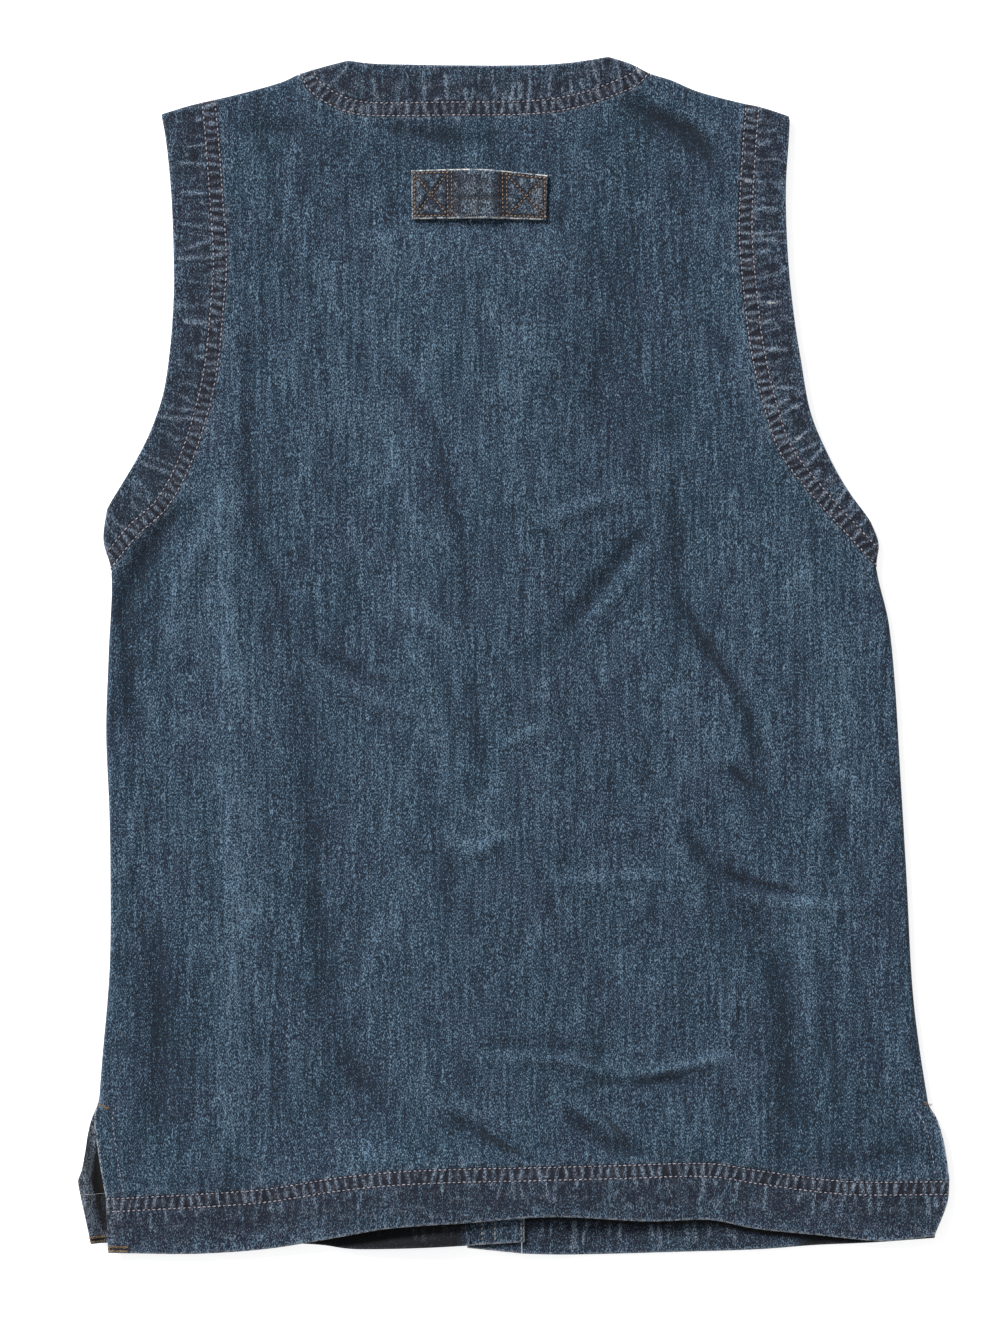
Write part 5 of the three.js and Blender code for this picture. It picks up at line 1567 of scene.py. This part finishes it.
def front_wear_and_shade(seam, edge, seed, depth):
    """Puckers, wear and painted pucker shade of a front band, in colour alone, because the band rests on
    the table.
    """
    along_seam = Puckers(seam, seed, depth)

    def wear(x, y):
        _, rubbed, dark = along_seam.field(x, y)
        worn = edge_wear(edge, x, y) * 0.8
        at_slit = (x < BY_LEFT_SLIT) * (y < LEFT_SLIT_TOP)
        rubbed = np.maximum(rubbed * (1 - 0.5 * at_slit) + 0.34 * at_slit, worn * (1 - 0.5 * at_slit))
        dark = dark * (1 - worn)
        serged = strokes(SERGED, x, y)
        rubbed = np.where(at_slit, np.minimum(rubbed, 0.62), rubbed) * (1 - np.clip(serged, 0, 1))
        return np.clip(rubbed, 0, 1), np.clip(np.maximum(dark, 0.8 * serged), 0, 1)
    return wear


def front_panel_wear(x, y):
    """The slit's turned-in edge is paler than the inside of the panel."""
    past_slit = value_on(left_free_edge, 1, y, 0) - x
    reach = slit_opening(y)
    strip = rise(past_slit, reach, reach + 1.2) * (y < LEFT_SLIT_TOP) * (x < BY_LEFT_SLIT)
    rim = bump(past_slit - reach - 1.5, 0.9) * (y < SLIT_FACING_TOP) * (x < BY_LEFT_SLIT)
    outer = edge_wear(left_front_slit, x, y, 0.9) * (x < BY_LEFT_SLIT)
    rubbed = 0.42 * strip + 0.3 * strip * np.clip(ripple(x, y, 5, 47), 0, 1) + 0.25 * rim
    return np.clip(np.maximum(rubbed, 0.3 * outer), 0, MOST_RUBBED), np.zeros(len(x))


class VEST_OT_fronts(bpy.types.Operator):
    """The two fronts under the back, with their bands"""
    bl_idname = "vest.fronts"
    bl_label = "Fronts"

    def execute(self, context):
        material = shared_material("Denim inside")
        doubled = shared_material("Doubled denim of the fronts")
        # The fronts are mostly hidden, so their net is coarser, but for the hem and the slit that show
        step = panel_grid() * 1.8
        for is_left in (True, False):
            half = half_lines(is_left)
            lines = front_outlines(half)
            face = front_face(is_left)
            suffix = half["suffix"]
            across = finer_start(with_edge(FRONT_BREADTH, step, True, False), FRONT_BREADTH, 1.1, 20)
            up = finer_start(with_edge(PANEL_LENGTH, step, False, True), PANEL_LENGTH, 1.3, 56)
            net = net_between(spaced(lines["bottom"], across), spaced(lines["closing"], up),
                              spaced(lines["top"], across), spaced(lines["outer"], up))
            piece = cloth(f"front_{suffix}", net, CLOTH, face, (), front_panel_wear, inside_shade)
            finish_piece(piece, [f"front_panel_{suffix}"], material)

            left_first = 1 if is_left else -1
            slit_end = np.array([lines["bottom"][0], lines["hem"][0]])
            closing_end = np.array([lines["bottom"][-1], lines["hem"][-1]])
            sewn = lines["bottom"][::-left_first]
            piece = band(f"hem_front_{suffix}", lines["bottom"], lines["hem"], slit_end, closing_end,
                         FRONT_HEM_STEP, face, front_wear_and_shade(sewn, lines["hem"], 21 + is_left, 33),
                         ("top", "left"), inside_shade)
            finish_piece(piece, [f"hem_band_front_{suffix}"], doubled)

            under = stretch(half["side"], 1, half["seam"][0, 1], half["edge"][0, 1])
            over = stretch(half["shoulder"], 0, half["seam"][-1, 0], half["edge"][-1, 0])
            sewn = half["seam"][::left_first]
            piece = band(f"armhole_edge_{suffix}_front", half["seam"], half["edge"], under, over,
                         HIDDEN_BAND_STEP, face, front_wear_and_shade(sewn, half["edge"], 23 + is_left, 32))
            finish_piece(piece, [f"armhole_band_{suffix}_front"], doubled)

            shoulder_end = stretch(half["shoulder"], 0, lines["neck"][0, 0], lines["neck_edge"][0, 0])
            lower_end = np.array([lines["neck"][-1], lines["neck_edge"][-1]])
            sewn = lines["neck"][::left_first]
            piece = band(f"neck_edge_front_{suffix}", lines["neck"], lines["neck_edge"], shoulder_end,
                         lower_end, HIDDEN_BAND_STEP, face,
                         front_wear_and_shade(sewn, lines["neck_edge"], 25 + is_left, 31))
            finish_piece(piece, [f"neck_band_front_{suffix}"], doubled)
        return {"FINISHED"}


class VEST_OT_closing(bpy.types.Operator):
    """The two plackets of the front closing"""
    bl_idname = "vest.closing"
    bl_label = "Front closing"

    def execute(self, context):
        material = shared_material("Doubled denim of the fronts")
        for is_left in (True, False):
            half = half_lines(is_left)
            hem_y = front_outlines(half)["hem"][-1, 1]
            edge_top = PLACKET_TOP - PLACKET_V_DROP
            seam = closing_line(half["placket_seam"], hem_y, PLACKET_TOP)
            edge = closing_line(half["placket_edge"], half["foot"], edge_top)
            shares = with_edge(PLACKET_LENGTH, 3.0, True, True)
            over = with_edge(PLACKET_WIDTH, 2.0, False, True)
            left, right = spaced(seam, shares), spaced(edge, shares)
            bottom = spaced(np.array([left[0], right[0]]), over)
            top = spaced(np.array([left[-1], right[-1]]), over)
            level = half["level"]

            def face(x, y):
                point = np.column_stack([x, y, np.full(len(x), level)])
                return point, np.tile([0.0, 0.0, -1.0], (len(x), 1))

            def wear(x, y):
                worn = np.maximum(edge_wear(edge, x, y), edge_wear(bottom, x, y))
                return worn, np.zeros(len(x))

            piece = cloth(f"closing_{half['suffix']}", net_between(bottom, right, top, left), BAND, face,
                          ("right", "bottom", "top"), wear)
            finish_piece(piece, [f"placket_{half['suffix']}"], material)
        return {"FINISHED"}


def tab_rows():
    """The stitch lines of the loop: a crossed box at each end, its inner side sewn twice."""
    top, bottom = smooth_line(TAB_TOP), smooth_line(TAB_BOTTOM)
    rows = []
    for start, end, twice in TAB_BOXES:
        high = points_at(top, [start, end, twice]) - (0, TAB_INSET)
        low = points_at(bottom, [start, end, twice]) + (0, TAB_INSET)
        rows += [np.array(pair) for pair in (
            (high[0], high[1]), (high[1], low[1]), (low[1], low[0]), (low[0], high[0]),
            (high[0], low[1]), (low[0], high[1]), (high[2], low[2]),
        )]
    return rows


def quilting(x, y, reach):
    """How near each point lies to a stitch line of the loop."""
    near = np.zeros(len(x))
    for row in tab_rows():
        near = np.maximum(near, bump(along_and_off(row, x, y)[1], reach))
    return near


def tab_fold(x, y, reach):
    """The level crease across the free middle of the loop, and a fainter one above it."""
    free = tab_free(x)
    return (bump(y - 286.4 - 0.03 * x, reach) + 0.5 * bump(y - 294.0 + 0.05 * x, reach)) * free


def tab_free(x):
    """1 over the free middle of the loop, 0 at its sewn ends."""
    left, right = TAB_TOP[0][0], TAB_TOP[-1][0]
    return rise(x, left + 25, left + 34) * (1 - rise(x, right - 35, right - 26))


def tab_face(x, y):
    """The loop lies on the back, quilted by its crossed boxes and bowed up between them."""
    base, _ = back_face(x, y)
    z = base[:, 2] + TAB_CLEARANCE + BAND + SEAM_GAP + TAB_RISE * tab_free(x)
    z += 0.15 * ripple(x, y, 5, 52) - 0.7 * quilting(x, y, 1.3) - 0.9 * tab_fold(x, y, 1.8)
    return np.column_stack([x, y, z]), np.tile([0.0, 0.0, 1.0], (len(x), 1))


class VEST_OT_loop(bpy.types.Operator):
    """The loop on the back, sewn down by a crossed box at each end"""
    bl_idname = "vest.loop"
    bl_label = "Loop"

    def execute(self, context):
        top, bottom = smooth_line(TAB_TOP), smooth_line(TAB_BOTTOM)
        across = with_edge(LOOP_LENGTH, 0.9, True, True)
        up = with_edge(LOOP_DEPTH, 0.9, True, True)
        top, bottom = spaced(top, across), spaced(bottom, across)
        left = spaced(np.array([bottom[0], top[0]]), up)
        right = spaced(np.array([bottom[-1], top[-1]]), up)

        def wear(x, y):
            worn = np.maximum(1.1 * edge_wear(top, x, y, 0.55), 1.15 * edge_wear(bottom, x, y, 0.6))
            worn *= 0.82 + 0.3 * ripple(x, y, 2.4, 53)
            ends = 0.45 * np.maximum(edge_wear(left, x, y, 0.6), edge_wear(right, x, y, 0.6))
            sewn = quilting(x, y, 1.4)
            patches = np.clip(1.3 * ripple(x, y, 2.4, 51), 0, 1) * (1 - sewn)
            upright = 0.5 + 0.5 * np.sin(x * math.tau / 5.3 + 0.8 * np.sin(x * 0.31))
            across = 0.5 + 0.5 * np.sin(y * math.tau / 3.1)
            level = 0.06 * tab_free(x) * upright + 0.08 * tab_free(x) * across
            rubbed = np.maximum(worn, ends) + 0.42 * patches * (1 - tab_free(x)) + level
            rubbed += strokes(LOOP_WEAR, x, y) * (1 - 0.7 * sewn) * (0.75 + 0.5 * ripple(x, y, 3.0, 54))
            beside = bump(x - TAB_TOP[0][0] - 29.5, 2.6) + bump(x - TAB_TOP[-1][0] + 30.5, 2.6)
            # Painted shade along the quilted stitch lines, in the loop's folds and where its free middle
            # rises, with darker sewn ends
            dark = 0.72 * sewn + 0.12 * (1 - tab_free(x)) + 0.7 * tab_fold(x, y, 1.5) + 0.5 * beside
            return np.clip(rubbed, 0, 1), np.clip(dark, 0, 1) * np.clip(1 - worn, 0, 1)

        piece = cloth("back_loop", net_between(bottom, right, top, left), BAND, tab_face,
                      ("top", "bottom", "left", "right"), wear)
        finish_piece(piece, ["back_tab"], shared_material("Frayed denim loop"))
        return {"FINISHED"}


def zigzag(start, end, height=0.9, wave=1.1):
    """A zigzag from one plan point to another, for bar tacks and serging."""
    start, end = np.array(start, float), np.array(end, float)
    run = end - start
    total = np.linalg.norm(run)
    count = max(2, int(total / wave) * 2)
    aside = np.array([-run[1], run[0]]) / total * height
    share = np.linspace(0, 1, count + 1)[:, None]
    sign = np.where(np.arange(count + 1) % 2 == 0, 1.0, -1.0)[:, None]
    return start + run * share + aside * sign


def sewn_rows(seam, edge_side, face, lift=THREAD_LIFT, within=inside_folds):
    """The twin rows beside a seam, on the side that its band is."""
    rows = []
    for away in (FAR_ROW, NEAR_ROW):
        line = extended(offset_line(seam, away * edge_side), 14)
        rows.append(on_face(kept(spaced(line, np.linspace(0, 1, FINE_CUTS)), within), face, lift))
    return rows


class VEST_OT_stitching(bpy.types.Operator):
    """The topstitching of the bands, the loop and the closing"""
    bl_idname = "vest.stitching"
    bl_label = "Stitching"

    def execute(self, context):
        sewing = context.scene.vest_sewing
        pitch, thick = sewing.pitch / MM, sewing.thickness / MM
        sizes = (pitch, pitch * 0.78, thick)
        tan = shared_material("Tan topstitch thread")
        rust = shared_material("Rust topstitch thread")
        cream = shared_material("Cream topstitch thread")
        brown = shared_material("Brown bar-tack thread")

        slit_rows = []
        for slit, (aside, foot, head) in (
                (left_back_slit, LEFT_SLIT_ROW), (right_back_slit, RIGHT_SLIT_ROW)):
            row = kept(offset_line(slit, aside), lambda x, y: (y < head) & (y > foot))
            slit_rows.append(on_face(row, back_face, 0.1))
        groups = [
            ("stitches_neck", sewn_rows(neck_seam, 1, back_face), sizes, tan, "denim_band"),
            ("stitches_armhole_left", sewn_rows(left_seam, 1, back_face), sizes, tan, "denim_band"),
            ("stitches_armhole_right", sewn_rows(right_seam, -1, back_face), sizes, tan, "denim_band"),
            ("stitches_hem", sewn_rows(hem_seam, -1, back_face, within=inside_slits), sizes, tan,
             "denim_band"),
            ("stitches_slits", slit_rows, (pitch, pitch * 0.7, thick * 0.75), tan, "denim_face"),
        ]
        loop = [on_face(row, tab_face, THREAD_LIFT, 1.0) for row in tab_rows()]
        groups.append(("stitches_loop", loop, (2.5, 2.1, thick), rust, "denim_tab"))

        lift = 0.25
        bars = [on_face(zigzag(*bar, BAR_HEIGHT), back_face, lift, 0.5) for bar in BACK_BARS]
        front = front_face(True)
        bars += [on_face(zigzag(*bar, BAR_HEIGHT), front, -BAND - lift, 0.5) for bar in FRONT_BARS]
        groups.append(("bar_tacks", bars, (0.9, 1.2, 0.42), brown, "denim_tab"))

        closing = []
        lift = 0.15
        for offsets, foot, level in (
                (LEFT_CLOSING_ROWS, LEFT_ROWS_FOOT, LEFT_PLACKET_LEVEL + BAND + lift),
                (RIGHT_CLOSING_ROWS, RIGHT_ROWS_FOOT, RIGHT_PLACKET_LEVEL - lift)):
            for offset in offsets:
                line = spaced(closing_line(offset, foot, CLOSING_ROWS_TOP), even(CLOSING_ROWS_LENGTH, 2.0))
                closing.append(np.column_stack([line, np.full(len(line), level)]))
        groups.append(("stitches_closing", closing, sizes, cream, "denim_front"))

        fronts = []
        for is_left in (True, False):
            half, side = half_lines(is_left), (1 if is_left else -1)
            lines, face = front_outlines(half), front_face(is_left)
            for seam, away in ((half["seam"], side), (lines["neck"], side), (lines["bottom"], -side)):
                fronts += sewn_rows(seam, away, face, UNDER_LIFT)
        groups.append(("stitches_fronts", fronts, sizes, tan, "denim_front"))

        for seed, (name, rows, size, thread, slot) in enumerate(groups, 60):
            piece = stitched(name, rows, size, thread, seed)
            finish_piece(piece, [])
        return {"FINISHED"}


class VEST_OT_cloth_facts(bpy.types.Operator):
    """Goes through the flat cut kept for each piece of cloth, and does nothing with it"""
    bl_idname = "vest.cloth_facts"
    bl_label = "Cloth facts"

    def execute(self, context):
        for name, (piece, flat, area) in SHEETS.items():
            if name == "back_loop":
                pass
            elif name.endswith("_back") or name == "back":
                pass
            else:
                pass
        return {"FINISHED"}


class VEST_OT_buttons(bpy.types.Operator):
    """Six plain stamped buttons under the closing"""
    bl_idname = "vest.buttons"
    bl_label = "Buttons"

    def execute(self, context):
        metal = shared_material("Aged nickel")
        for number in range(1, BUTTON_COUNT + 1):
            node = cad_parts[f"button_{number}"]
            node.data.materials.clear()
            node.data.materials.append(metal)
        return {"FINISHED"}


# The stage, in metres: the key light's breadth and place, the height of the photo's frame at the
# cloth, the point under the camera, and how high the cloth lies there
KEY_SIZE = 3.4
KEY_PLACE = (-5.95, 6.46, 5.27)
VIEW_HEIGHT = 0.83125
CAMERA_OVER = (-0.00906, -0.0059)
CLOTH_HEIGHT = 0.006


class VEST_OT_stage(bpy.types.Operator):
    """A white paper floor, soft light from the upper left, and a camera straight above"""
    bl_idname = "vest.stage"
    bl_label = "Stage"

    def execute(self, context):
        stage = context.scene.vest_stage
        half, below = 4.0, -0.0005
        mesh = bpy.data.meshes.new("floor")
        corners = [(-half, -half, below), (half, -half, below), (half, half, below), (-half, half, below)]
        mesh.from_pydata(corners, [], [(0, 1, 2, 3)])
        floor = bpy.data.objects.new("floor", mesh)
        context.scene.collection.objects.link(floor)
        floor.data.materials.append(plain_paper("White paper", stage.floor))

        world = bpy.data.worlds.new("Studio")
        context.scene.world = world
        world.use_nodes = True
        world.node_tree.nodes["Background"].inputs["Color"].default_value = (1, 1, 1, 1)
        world.node_tree.nodes["Background"].inputs["Strength"].default_value = stage.sky

        light = bpy.data.lights.new("key", "AREA")
        light.shape = "DISK"
        light.size = KEY_SIZE
        light.energy = stage.key_power
        key = bpy.data.objects.new("key", light)
        key.location = KEY_PLACE
        key.rotation_euler = (-key.location).to_track_quat("-Z", "Y").to_euler()
        context.scene.collection.objects.link(key)

        # The camera looks straight down
        sensor = 24.0
        data = bpy.data.cameras.new("camera")
        data.sensor_fit = "VERTICAL"
        data.sensor_height = sensor
        data.lens = sensor * stage.camera_height / VIEW_HEIGHT
        data.clip_end = 50
        camera = bpy.data.objects.new("camera", data)
        camera.location = (*CAMERA_OVER, stage.camera_height + CLOTH_HEIGHT)
        context.scene.collection.objects.link(camera)
        context.scene.camera = camera
        context.scene.view_settings.view_transform = "Standard"
        return {"FINISHED"}


BUILDERS = (
    VEST_OT_back_panel, VEST_OT_back_bands, VEST_OT_fronts, VEST_OT_closing, VEST_OT_loop,
    VEST_OT_stitching, VEST_OT_buttons, VEST_OT_stage, VEST_OT_cloth_facts,
)


class VEST_PT_sidebar(bpy.types.Panel):
    """The vest's settings, and a button for each operator"""
    bl_idname = "VEST_PT_sidebar"
    bl_label = "Denim vest"
    bl_space_type = "VIEW_3D"
    bl_region_type = "UI"
    bl_category = "Vest"

    def draw(self, context):
        scene = context.scene
        for group in (scene.vest_denim, scene.vest_sewing, scene.vest_stage):
            for key in group.__annotations__:
                self.layout.prop(group, key)
        for builder in BUILDERS:
            self.layout.operator(builder.bl_idname)


GROUPS = {
    "vest_denim": VestDenimSettings,
    "vest_sewing": VestSewingSettings,
    "vest_stage": VestStageSettings,
}


def register():
    for group in GROUPS.values():
        bpy.utils.register_class(group)
    for label, group in GROUPS.items():
        setattr(bpy.types.Scene, label, bpy.props.PointerProperty(type=group))
    for builder in BUILDERS:
        bpy.utils.register_class(builder)
    bpy.utils.register_class(VEST_PT_sidebar)


def unregister():
    bpy.utils.unregister_class(VEST_PT_sidebar)
    for builder in reversed(BUILDERS):
        bpy.utils.unregister_class(builder)
    for label, group in GROUPS.items():
        delattr(bpy.types.Scene, label)
        bpy.utils.unregister_class(group)


def main():
    """Builds every piece and the stage."""
    register()
    for builder in BUILDERS:
        area, name = builder.bl_idname.split(".")
        getattr(getattr(bpy.ops, area), name)()


if __name__ == "__main__":
    main()
